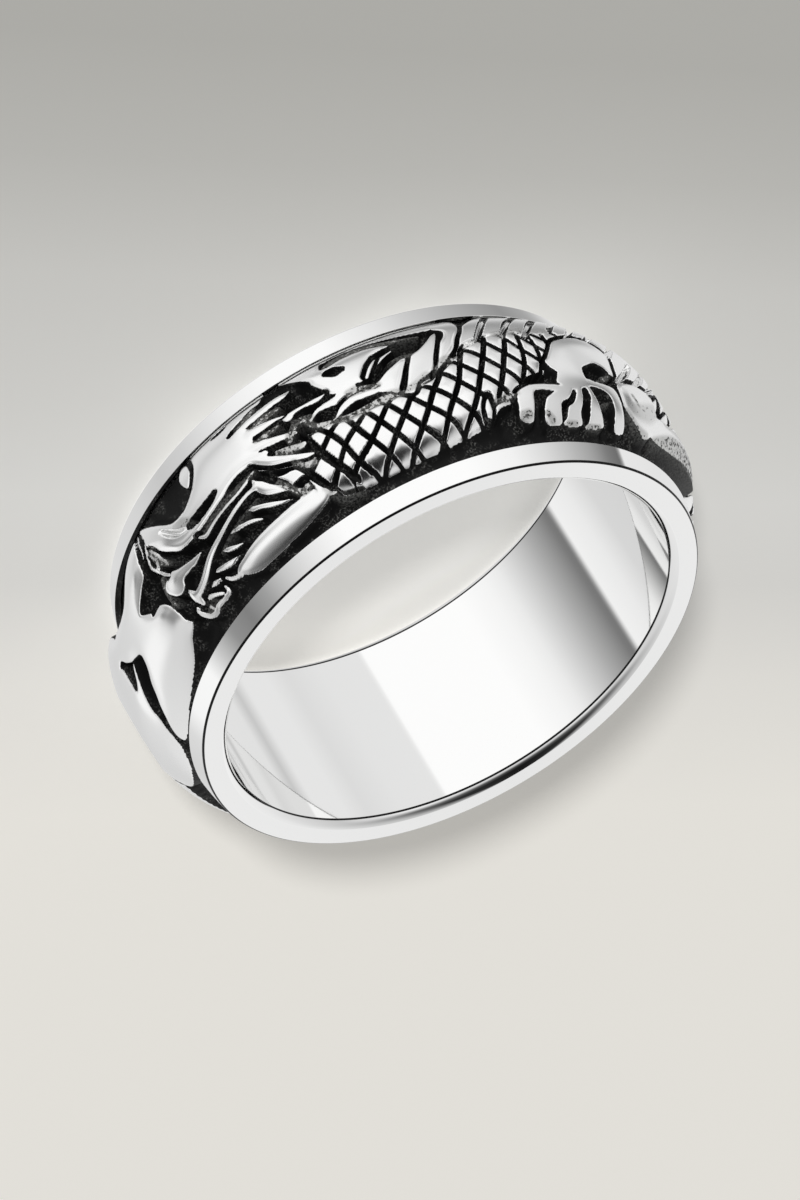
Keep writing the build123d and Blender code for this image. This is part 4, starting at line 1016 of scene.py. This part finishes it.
class Recipe:
    """A finish, or the light around the ring, that is put together from shader nodes."""

    def __init__(self, name, group=None, shader="Principled BSDF"):
        self.made = (bpy.data.materials if group is None else group).new(name)
        self.made.use_nodes = True
        self.tree = self.made.node_tree
        self.shader = self.tree.nodes[shader]

    def node(self, kind, settings=None, sockets=None, output=0):
        """Adds one node: its settings first, then the values or links of its sockets."""
        node = self.tree.nodes.new(kind)
        for name, value in (settings or {}).items():
            if name == "stops":
                fill_ramp(node.color_ramp, value)
            else:
                setattr(node, name, value)
        for name, value in (sockets or {}).items():
            self.feed(node.inputs[name], value)
        return Value(self, node.outputs[output])

    def feed(self, socket, value):
        """Links a value to a socket, or sets a constant on it."""
        if isinstance(value, Value):
            self.tree.links.new(value.socket, socket)
        else:
            socket.default_value = value

    def mix(self, factor, low, high):
        """A colour between two others."""
        sockets = {MIX_FACTOR: factor, MIX_LOW: low, MIX_HIGH: high}
        return self.node("ShaderNodeMix", {"data_type": "RGBA"}, sockets, MIX_RESULT)

    def noise(self, point, scale, detail, roughness):
        """Fine noise from 0 to 1."""
        sockets = {"Vector": point, "Scale": scale, "Detail": detail, "Roughness": roughness}
        return self.node("ShaderNodeTexNoise", None, sockets)

    def ramp(self, position, stops):
        """A colour that runs through stops as the position goes from 0 to 1."""
        return self.node("ShaderNodeValToRGB", {"stops": stops}, {"Fac": position})

    def parts(self, vector):
        """The three numbers of a vector."""
        apart = self.node("ShaderNodeSeparateXYZ", None, {"Vector": vector}).socket.node
        return [Value(self, output) for output in apart.outputs]

    def place(self):
        """The point of the piece that is painted, in metres."""
        return self.node("ShaderNodeTexCoord", None, None, "Object")

    def attribute(self, name):
        """What the mesh says of that point under a name."""
        return self.node("ShaderNodeAttribute", {"attribute_name": name}, None, "Fac")

    def bump(self, height, strength, distance):
        """Fine relief that only the light sees."""
        sockets = {"Height": height, "Strength": strength, "Distance": distance}
        return self.node("ShaderNodeBump", None, sockets, "Normal")

    def set(self, **values):
        """Feeds the shader's own sockets."""
        for name, value in values.items():
            self.feed(self.shader.inputs[name.replace("_", " ")], value)


def fill_ramp(ramp, stops):
    """Gives a colour ramp its stops."""
    while len(ramp.elements) > 1:
        ramp.elements.remove(ramp.elements[-1])
    for i, (position, colour) in enumerate(stops):
        element = ramp.elements[0] if i == 0 else ramp.elements.new(position)
        element.position = position
        element.color = colour


# Noise of the finishes. Columns: scale, detail, roughness
RUB_MARKS = (900.0, 3.0, 0.5)
SPECKLE = (7000.0, 3.0, 0.6)
PATCHES_OF_GRAIN = (1400.0, 2.0, 0.5)
CAST_GRAIN = (12000.0, 3.0, 0.65)
NOISE_MIDDLE = 0.5

# The polished band. Fades are shares of the width of the line that they end
RIM_LINE_FADE = (0.55, 0.75)
RIM_DEPTH_FADE = (1.2, 1.5)
BORE_LINE_FADE = (0.8, 1.2)
SHADE_LINE_DULLING = 0.6           # how much less the painted shade line shines like metal
LINE_ROUGHNESS = 0.3
RUB_ROUGHNESS = 0.03

# The cast band
POLISH_LIMIT = 1.2         # how far from its edge the polish can be frayed
POLISH_NOISE = 0.5         # how much the speckle frays it
WORN_NOISE = 4.5           # how much more in worn places
WORN_POLISH = 0.5          # polish that is left in worn places
POLISH_FADE = (0.35, 0.65)
SATIN_STRENGTH = 1.6       # how soon a worn place counts as satin
SATIN_ROUGHNESS = 0.16
GRAIN_FADE = (0.48, 0.7)
PATCH_FADE = (0.45, 0.62)
WORN_GRAIN = 1.2           # how much more grain shows in worn places
WORN_GRAIN_FADE = (0.35, 0.6)
OXIDE_METAL = 0.35         # how far the blackened ground shines like metal
OXIDE_ROUGHNESS = 0.5
PATCH_ROUGHNESS = 0.04
BUMP_STRENGTH = 0.5
BUMP_HEIGHT = 0.00002


def polished_silver(look, base):
    """Mirror-polished silver with faint rubbing marks, and painted shade in a fine dark line round the
    front rim and round each end of the bore.
    """
    recipe = Recipe("polished_silver")
    place = recipe.place()
    marks = recipe.noise(place, *RUB_MARKS)
    x, y, z = recipe.parts(place)
    radius = (x * x + y * y) ** 0.5
    chamfer = base_high.x - base.rim_fall - base.rim_edge / 2
    # Painted shade: fine dark lines in the oxide's colour at the front rim's chamfer and at the bore's
    # bevels, where those edges lie in shade.
    on_line = (radius - chamfer).size().within(base.rim_edge, *RIM_LINE_FADE)
    rim_shade_line = on_line * (base_high.z - z).within(base.rim_edge, *RIM_DEPTH_FADE)
    from_face = base_high.z / 2 - (z - base_high.z / 2).size()
    from_bevel = (from_face - base.bevel_depth).size().within(base.line_width, *BORE_LINE_FADE)
    bore_shade_line = from_bevel * (radius - base.bore_radius).within(base.line_width, *BORE_LINE_FADE)
    line = rim_shade_line.most(bore_shade_line)
    recipe.set(
        Base_Color=recipe.mix(line, (*look.polished_colour, 1), (*look.oxide_colour, 1)),
        Metallic=1 - SHADE_LINE_DULLING * line,
        Roughness=look.mirror_roughness + RUB_ROUGHNESS * marks + LINE_ROUGHNESS * line,
        Specular_IOR_Level=look.oxide_gloss,
    )
    return recipe.made


def oxidised_silver(look):
    """Cast silver: bright on the polished high parts, black and grainy in the hollows, and black on steep
    walls, partly as painted shade.
    """
    recipe = Recipe("oxidised_silver")
    place = recipe.place()
    # This attribute holds the oxide's black in the hollows and the painted shade on the steep walls.
    polish_and_wall_shade, worn = recipe.attribute("polish_and_wall_shade"), recipe.attribute("worn")
    speckle = recipe.noise(place, *SPECKLE)
    patches = recipe.noise(place, *PATCHES_OF_GRAIN)
    cast = recipe.noise(place, *CAST_GRAIN)
    frayed = (POLISH_NOISE + WORN_NOISE * worn) * (speckle - NOISE_MIDDLE)
    kept = polish_and_wall_shade.least(POLISH_LIMIT).most(-POLISH_LIMIT) * (1 - worn)
    bright = (kept + WORN_POLISH * worn + frayed).step(*POLISH_FADE)
    satin = (worn * SATIN_STRENGTH).least(1)
    silver = recipe.mix(satin, (*look.polished_colour, 1), (*look.satin_colour, 1))
    worn_grains = WORN_GRAIN * worn * cast.step(*WORN_GRAIN_FADE)
    grains = (cast.step(*GRAIN_FADE) * patches.step(*PATCH_FADE)).most(worn_grains)
    ground = recipe.mix(grains, (*look.oxide_colour, 1), (*look.grain_colour, 1))
    smoother = OXIDE_ROUGHNESS - look.relief_roughness - SATIN_ROUGHNESS * satin
    recipe.set(
        Base_Color=recipe.mix(bright, ground, silver),
        Metallic=OXIDE_METAL + (1 - OXIDE_METAL) * bright,
        Roughness=OXIDE_ROUGHNESS - smoother * bright + PATCH_ROUGHNESS * patches,
        Normal=recipe.bump(cast * (1 - bright), BUMP_STRENGTH, BUMP_HEIGHT),
        Specular_IOR_Level=look.oxide_gloss,
    )
    return recipe.made


def light_round(recipe, turn, rows):
    """The light of one height, from rows of azimuth in degrees and brightness."""
    return recipe.ramp(turn, [(azimuth / 360 + 0.5, (tone, tone, tone, 1)) for azimuth, tone in rows])


def soft_boxes():
    """The studio round the ring: how bright it is in each direction, from large soft lights."""
    recipe = Recipe("studio", bpy.data.worlds, "Background")
    x, y, z = recipe.parts(recipe.node("ShaderNodeTexCoord", None, None, "Generated"))
    turn = y.maths("ARCTAN2", y, x) / (2 * math.pi) + 0.5
    rise = z.maths("ARCSINE", z)
    light = light_round(recipe, turn, LOWEST_LIGHT)
    for low, high, rows in HIGHER_LIGHTS:
        reached = rise.step(math.radians(low), math.radians(high))
        light = recipe.mix(reached, light, light_round(recipe, turn, rows))
    recipe.set(Color=light, Strength=1.0)
    recipe.made.cycles_visibility.diffuse = False
    return recipe.made


def sun(name, turn, rise, spread, strength):
    """A soft lamp that lights the paper and throws the ring's shadow."""
    bpy.ops.object.light_add(type="SUN")
    lamp = bpy.context.object
    lamp.name = name
    lamp.data.angle = spread
    lamp.data.energy = strength
    away = Vector((math.cos(rise) * math.cos(turn), math.cos(rise) * math.sin(turn), math.sin(rise)))
    lamp.rotation_euler = away.to_track_quat("Z", "Y").to_euler()
    lamp.visible_glossy = False


PAPER_ROUGHNESS = 0.9
# Where the glow that the bore throws on the paper fades, and where the shadow of
# the rim over it does: from the rim's radius, in metres
GLOW_FADE = (-0.0036, -0.0007)
SHADE_FADE = (-0.0034, -0.0012)


def floor_paint(studio):
    """Pale paper with painted light: it glows, its tone falls off toward one side of the picture, and a
    painted glow fills the rim's shadow inside the bore.
    """
    recipe = Recipe("pale_paper")
    place = recipe.place()
    across = {"Vector": place, "Rotation": (0, 0, -studio.falloff_direction)}
    fallen = recipe.parts(recipe.node("ShaderNodeMapping", None, across))[0]
    low, high = PAINTED_PAPER_FALLOFF[0][0], PAINTED_PAPER_FALLOFF[-1][0]
    stops = [((at - low) / (high - low), (*colour, 1)) for at, colour in PAINTED_PAPER_FALLOFF]
    # Painted shade: the paper's colour and glow darken toward one side, as the studio light falls off.
    tone = recipe.ramp(fallen.step(low * MM, high * MM, "LINEAR"), stops)
    x, y, _ = recipe.parts(place)
    near_glow, far_glow = (base_high.x + edge for edge in GLOW_FADE)
    inside = 1 - ((x * x + y * y) ** 0.5).step(near_glow, far_glow)
    reach = base_high.z / math.tan(studio.light_rise)
    along, beyond = x + reach * math.cos(studio.light_turn), y + reach * math.sin(studio.light_turn)
    near_shade, far_shade = (base_high.x + edge for edge in SHADE_FADE)
    shaded = ((along * along + beyond * beyond) ** 0.5).step(near_shade, far_shade)
    # Painted light: inside the bore the paper glows brighter where the rim's shadow falls, for the light
    # that the polished bore throws there.
    glow = 1 + studio.bore_glow * inside * shaded
    lit = recipe.node("ShaderNodeVectorMath", {"operation": "SCALE"}, {"Vector": tone, "Scale": glow})
    recipe.set(
        Base_Color=recipe.mix(studio.paper_paint, (0, 0, 0, 1), tone),
        Emission_Color=lit,
        Emission_Strength=studio.paper_glow,
        Roughness=PAPER_ROUGHNESS,
        Specular_IOR_Level=0.0,
    )
    return recipe.made


def select_only(piece, wanted):
    """In object mode: leaves one piece selected, with the vertices that a test picks."""
    bpy.ops.object.select_all(action="DESELECT")
    piece.select_set(True)
    bpy.context.view_layer.objects.active = piece
    mesh = piece.data
    mesh.vertices.foreach_set("select", wanted)
    ends = np.zeros(len(mesh.edges) * 2, np.int32)
    mesh.edges.foreach_get("vertices", ends)
    mesh.edges.foreach_set("select", wanted[ends].reshape(-1, 2).all(1))
    mesh.polygons.foreach_set("select", np.zeros(len(mesh.polygons), bool))


def in_edit_mode(*steps):
    """Runs edit-mode operators on the selection."""
    bpy.ops.object.mode_set(mode="EDIT")
    bpy.ops.mesh.select_mode(type="EDGE")
    for step in steps:
        step()
    bpy.ops.object.mode_set(mode="OBJECT")


def name_piece(piece, name, body, node, material):
    """Names and paints a piece, hangs it on the body that it rides on, and hides the part that it replaces.
    """
    piece.name = piece.data.name = name
    piece.data.materials.append(material)
    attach(piece, body)
    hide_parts(node)


def as_length(name, text, metres):
    """A setting in metres."""
    return FloatProperty(name=name, description=text, default=metres, unit="LENGTH", precision=5)


def as_angle(name, text, degrees):
    """A setting that is an angle."""
    return FloatProperty(name=name, description=text, default=math.radians(degrees), subtype="ANGLE")


def as_share(name, text, share):
    """A setting from 0 to 1."""
    return FloatProperty(name=name, description=text, default=share, min=0, max=1, subtype="FACTOR")


def as_colour(name, text, colour):
    """A setting that is a colour."""
    return FloatVectorProperty(name=name, description=text, default=colour, min=0, max=1, subtype="COLOR")


class BaseBandSizes(bpy.types.PropertyGroup):
    """Sizes of the plain band. Its rim radius and width are the frame's."""

    bore_radius: as_length("Bore Radius", "Radius of the finger hole", 0.0099)
    bevel_width: as_length("Bore Bevel", "Radial width of the rounded bevel at the bore's ends", 0.00031)
    bevel_depth: as_length("Bevel Depth", "Length of that bevel along the bore", 0.00032)
    bevel_start: as_angle("Bevel Start", "Slope of the bevel where it leaves the bore", 27)
    bevel_end: as_angle("Bevel End", "Slope of the bevel where it meets the face", 65)
    line_width: as_length("Edge Line", "Width of the fine dark line at the bore's ends", 0.000045)
    sleeve_radius: as_length("Sleeve Radius", "Radius of the channel's floor", 0.01045)
    rim_width: as_length("Rim Width", "Width of each raised rim", 0.00093)
    rim_fall: as_length("Rim Fall", "How much smaller a rim is at the ring's face", 0.00019)
    rim_edge: as_length("Rim Edge", "Fine chamfer between rim and face", 0.00006)
    softness: as_length("Edge Softness", "Rounding of every edge", 0.00002)
    steps: IntProperty(name="Steps Around", description="Facets round the band", default=288, min=32)


class DragonBandSizes(bpy.types.PropertyGroup):
    """Sizes of the cast band. Its width and place are the frame's."""

    half_width: as_length("Half Width", "Half the band's width", (dragon_high.z - dragon_low.z) / 2)
    bore_radius: as_length("Bore Radius", "Radius that runs on the sleeve", 0.01053)
    ground_radius: as_length("Ground Radius", "Radius of the dark ground", 0.01095)
    edge_height: as_length("Edge Height", "Height of the relief at the band's edges", 0.00025)
    crown_height: as_length("Crown Height", "Height of the relief in the middle", 0.00162)
    cell: as_length("Cell", "Spacing of the relief's points", 0.00004)
    softness: as_length("Softness", "Rounding that polishing gives the casting", 0.000022)


class SilverLook(bpy.types.PropertyGroup):
    """Colours and polish of the silver."""

    polished_colour: as_colour("Polished", "Colour of the polished silver", (0.93, 0.93, 0.925))
    oxide_colour: as_colour("Oxide", "Colour of the blackened silver", (0.007, 0.007, 0.007))
    satin_colour: as_colour("Satin", "Colour of the rough, unpolished places", (0.6, 0.6, 0.59))
    grain_colour: as_colour("Grain", "Colour of the grains in the blackened hollows", (0.13, 0.13, 0.125))
    mirror_roughness: as_share("Mirror Roughness", "Roughness of the plain band", 0.03)
    relief_roughness: as_share("Relief Roughness", "Roughness of the relief's polished parts", 0.17)
    oxide_gloss: as_share("Oxide Gloss", "Gloss of the blackened silver", 0.15)


class StudioSizes(bpy.types.PropertyGroup):
    """The camera, the paper and the light."""

    camera_distance: as_length("Camera Distance", "From the ring's middle", 0.29948)
    camera_elevation: as_angle("Camera Elevation", "Above the ring's faces", 33.27)
    camera_roll: as_angle("Camera Roll", "Turn of the picture", 148.7)
    aim_side: as_length("Aim to the Side", "Where the view's axis meets the middle plane, along X", 0.00064)
    aim_depth: as_length("Aim in Depth", "Where the view's axis meets the middle plane, along Y", 0.00128)
    lens: FloatProperty(name="Lens", description="Focal length in millimetres", default=221.7)
    paper_paint: as_share("Paper Paint", "How much of the lamp's light the paper gives back", 0.85)
    paper_glow: as_share("Paper Glow", "Share of the paper's light that is even", 0.58)
    bore_glow: as_share("Bore Glow", "Light that the polished bore throws on the paper inside it", 0.32)
    light_turn: as_angle("Light Direction", "Direction of the light on the floor", -91)
    light_rise: as_angle("Light Elevation", "Height of the light behind the camera", 27)
    light_spread: as_angle("Light Spread", "How soft that light is", 5.5)
    light_strength: FloatProperty(name="Light Strength", description="Strength of that light", default=3.0)
    falloff_direction: as_angle("Fall-off Direction", "Direction in which the paper darkens", -138.2)


BEVEL_FACETS = 5
EDGE_FACETS = 2
SHARP = math.radians(12)   # an edge that turns more than this is rounded
TOUCHING = 0.000001        # points nearer than this are at the same place


def bevel_points(sizes):
    """The rounded bevel at an end of the bore: radius, and depth below the face."""
    start, end = math.sin(sizes.bevel_start), math.sin(sizes.bevel_end)
    flat, steep = math.cos(sizes.bevel_start), math.cos(sizes.bevel_end)
    points = []
    for i in range(BEVEL_FACETS + 1):
        slope = sizes.bevel_start + (sizes.bevel_end - sizes.bevel_start) * i / BEVEL_FACETS
        out = (flat - math.cos(slope)) / (flat - steep)
        up = (math.sin(slope) - start) / (end - start)
        points.append((sizes.bore_radius + sizes.bevel_width * out, sizes.bevel_depth * (1 - up)))
    return points


def spin_base_band(sizes):
    """The plain channel-shaped band: a circle carried along its profile, ring by ring."""
    front, back = base_high.z, base_low.z
    rim = base_high.x
    outer_face = rim - sizes.rim_fall - sizes.rim_edge
    bevel = bevel_points(sizes)
    profile = [
        *((radius, front - below) for radius, below in bevel),
        (outer_face, front),
        (outer_face + sizes.rim_edge, front - sizes.rim_edge),
        (rim, front - sizes.rim_width),
        (sizes.sleeve_radius, front - sizes.rim_width),
        (sizes.sleeve_radius, back + sizes.rim_width),
        (rim, back + sizes.rim_width),
        (outer_face + sizes.rim_edge, back + sizes.rim_edge),
        (outer_face, back),
        *((radius, back + above) for radius, above in reversed(bevel)),
    ]
    radius, height = profile[0]
    bpy.ops.object.select_all(action="DESELECT")
    bpy.ops.mesh.primitive_circle_add(vertices=sizes.steps, radius=radius, location=(0, 0, height))
    piece = bpy.context.object
    bpy.ops.object.transform_apply(location=True)
    bpy.ops.object.mode_set(mode="EDIT")
    bpy.ops.mesh.select_mode(type="EDGE")
    bpy.ops.mesh.select_all(action="SELECT")
    for (radius, height), (next_radius, next_height) in zip(profile, profile[1:]):
        scale = next_radius / radius
        bpy.ops.mesh.extrude_edges_move()
        bpy.ops.transform.resize(value=(scale, scale, 1), center_override=(0, 0, height))
        bpy.ops.transform.translate(value=(0, 0, next_height - height))
    bpy.ops.object.mode_set(mode="OBJECT")
    points = np.array([vertex.co for vertex in piece.data.vertices])
    radii = np.hypot(points[:, 0], points[:, 1])
    ends = [profile[0], profile[-1]]
    picked = sum(np.hypot(radii - r, points[:, 2] - z) < TOUCHING for r, z in ends) > 0
    select_only(piece, picked)
    in_edit_mode(
        bpy.ops.mesh.bridge_edge_loops,
        lambda: bpy.ops.mesh.select_all(action="SELECT"),
        bpy.ops.mesh.normals_make_consistent,
    )
    edges = piece.modifiers.new("edges", "BEVEL")
    edges.width = sizes.softness
    edges.segments = EDGE_FACETS
    edges.limit_method = "ANGLE"
    edges.angle_limit = SHARP
    edges.harden_normals = True
    bpy.ops.object.shade_smooth()
    bpy.ops.object.modifier_apply(modifier=edges.name)
    return piece


def select_lines(piece, shape, lines):
    """Selects some of the lines of points in a piece that was bent from a grid."""
    wanted = np.zeros(shape, bool)
    wanted[lines] = True
    select_only(piece, wanted.ravel())


def close_stretch(piece, shape):
    """Gives a bent grid its bore and ends, with sharp edges where they meet the relief."""
    select_lines(piece, shape, [0, -1])
    in_edit_mode(bpy.ops.mesh.bridge_edge_loops)
    for end in (0, -1):
        select_lines(piece, shape, np.s_[:, end])
        in_edit_mode(bpy.ops.mesh.mark_sharp, bpy.ops.mesh.edge_face_add)
    for side in (1, -2):
        select_lines(piece, shape, side)
        in_edit_mode(bpy.ops.mesh.mark_sharp)
    bpy.ops.object.shade_smooth()


def face_relief(mesh, directions):
    """Gives the relief's faces the directions of the whole ring, so that stretches meet unseen."""
    corners = np.zeros(len(mesh.loops), np.int32)
    starts, totals = np.zeros((2, len(mesh.polygons)), np.int32)
    mesh.loops.foreach_get("vertex_index", corners)
    mesh.polygons.foreach_get("loop_start", starts)
    mesh.polygons.foreach_get("loop_total", totals)
    line_of = corners // directions.shape[1]
    is_relief = (line_of > 0) & (line_of < len(directions) - 1)
    whole = np.logical_and.reduceat(is_relief, starts) & (totals == 4)
    given = directions.reshape(-1, 3)[corners]
    given[~np.repeat(whole, totals)] = 0
    mesh.normals_split_custom_set(given.astype(np.float32).tolist())


def cast_stretch(sizes, points, normals, finish, start, count):
    """One closed stretch of the dragon band: a grid bent round the ring, with sides, bore and ends."""
    rows = (start + np.arange(count + 1)) % len(points)
    bpy.ops.object.select_all(action="DESELECT")
    bpy.ops.mesh.primitive_grid_add(x_subdivisions=count, y_subdivisions=points.shape[1] + 1)
    piece = bpy.context.object
    outer = points[rows]
    bore = outer[:, [0, -1]].copy()
    scale = sizes.bore_radius / np.hypot(bore[..., 0], bore[..., 1])
    bore[..., :2] *= scale[..., None]
    grid = np.concatenate([bore[:, :1], outer, bore[:, 1:]], 1).transpose(1, 0, 2)
    piece.data.vertices.foreach_set("co", grid.astype(np.float32).ravel())
    close_stretch(piece, grid.shape[:2])
    for name, field in finish.items():
        level = np.zeros(grid.shape[:2])
        level[1:-1] = field[rows].T
        attribute = piece.data.attributes.new(name, "FLOAT", "POINT")
        attribute.data.foreach_set("value", level.astype(np.float32).ravel())
    directions = np.zeros(grid.shape)
    directions[1:-1] = normals[rows].transpose(1, 0, 2)
    face_relief(piece.data, directions)
    return piece


FLOOR_SIZE = 4
CAMERA_REACH = (0.01, 10)


def place_camera(studio):
    """The camera, at the photograph's angle to the ring."""
    centre = Vector((0, 0, base_high.z / 2))
    away = Vector((0, -math.cos(studio.camera_elevation), math.sin(studio.camera_elevation)))
    bpy.ops.object.camera_add(location=centre + studio.camera_distance * away)
    camera = bpy.context.object
    aim = centre + Vector((studio.aim_side, studio.aim_depth, 0)) - camera.location
    level = aim.to_track_quat("-Z", "Y").to_matrix()
    turned = level @ Matrix.Rotation(studio.camera_roll, 3, "Z")
    camera.rotation_euler = turned.to_euler()
    camera.data.lens = studio.lens
    camera.data.clip_start, camera.data.clip_end = CAMERA_REACH
    bpy.context.scene.camera = camera


class RING_OT_base_band(bpy.types.Operator):
    """Make the plain polished band that the finger goes through"""

    bl_idname = "ring.base_band"
    bl_label = "Base Band"

    def execute(self, context):
        sizes, look = context.scene.base_band_sizes, context.scene.silver_look
        piece = spin_base_band(sizes)
        material = polished_silver(look, sizes)
        name_piece(piece, "base_band_skin", "base_band", "base_band", material)
        return {"FINISHED"}


class RING_OT_dragon_band(bpy.types.Operator):
    """Make the cast dragon band, in stretches that meet round the ring"""

    bl_idname = "ring.dragon_band"
    bl_label = "Dragon Band"

    def execute(self, context):
        sizes, look = context.scene.dragon_band_sizes, context.scene.silver_look
        sheet, height, polish_and_wall_shade = model_relief(sizes)
        points = ring_points(sheet, height)
        normals = ring_normals(points)
        finish = {"polish_and_wall_shade": polish_and_wall_shade, "worn": sheet.worn}
        material = oxidised_silver(look)
        cuts = [int(round(angle / 360 * sheet.around)) for _, angle in STRETCHES]
        for (name, _), start, end in zip(STRETCHES, cuts, cuts[1:] + [cuts[0] + sheet.around]):
            piece = cast_stretch(sizes, points, normals, finish, start, end - start)
            name_piece(piece, name, "dragon_band", "dragon_band", material)
        return {"FINISHED"}


class RING_OT_studio(bpy.types.Operator):
    """Make the paper floor, the soft light and the camera"""

    bl_idname = "ring.studio"
    bl_label = "Studio"

    def execute(self, context):
        scene, studio = context.scene, context.scene.studio_sizes
        bpy.ops.mesh.primitive_plane_add(size=FLOOR_SIZE)
        floor = context.object
        floor.name = "floor"
        floor.data.materials.append(floor_paint(studio))
        floor.visible_glossy = False
        scene.world = soft_boxes()
        sun("light", studio.light_turn, studio.light_rise, studio.light_spread, studio.light_strength)
        scene.view_settings.view_transform = "Standard"
        place_camera(studio)
        return {"FINISHED"}


SETTINGS = {
    "silver_look": SilverLook,
    "base_band_sizes": BaseBandSizes,
    "dragon_band_sizes": DragonBandSizes,
    "studio_sizes": StudioSizes,
}
OPERATORS = {
    "base_band_sizes": RING_OT_base_band,
    "dragon_band_sizes": RING_OT_dragon_band,
    "studio_sizes": RING_OT_studio,
}


class RING_PT_pieces(bpy.types.Panel):
    """Lists the ring's pieces and their sizes"""

    bl_label = "Dragon Ring"
    bl_idname = "RING_PT_pieces"
    bl_space_type = "VIEW_3D"
    bl_region_type = "UI"
    bl_category = "Dragon Ring"

    def draw(self, context):
        for group in SETTINGS:
            box = self.layout.box()
            if group in OPERATORS:
                box.operator(OPERATORS[group].bl_idname)
            else:
                box.label(text="Silver")
            settings = getattr(context.scene, group)
            for name in settings.bl_rna.properties.keys():
                if name not in {"rna_type", "name"}:
                    box.prop(settings, name)


CLASSES = (*SETTINGS.values(), *OPERATORS.values(), RING_PT_pieces)


def register():
    for entry in CLASSES:
        bpy.utils.register_class(entry)
    for name, group in SETTINGS.items():
        setattr(bpy.types.Scene, name, PointerProperty(type=group))


def unregister():
    for name in SETTINGS:
        delattr(bpy.types.Scene, name)
    for entry in reversed(CLASSES):
        bpy.utils.unregister_class(entry)


def main():
    """Makes the ring and its stage."""
    register()
    bpy.ops.ring.base_band()
    bpy.ops.ring.dragon_band()
    bpy.ops.ring.studio()


if __name__ == "__main__":
    main()
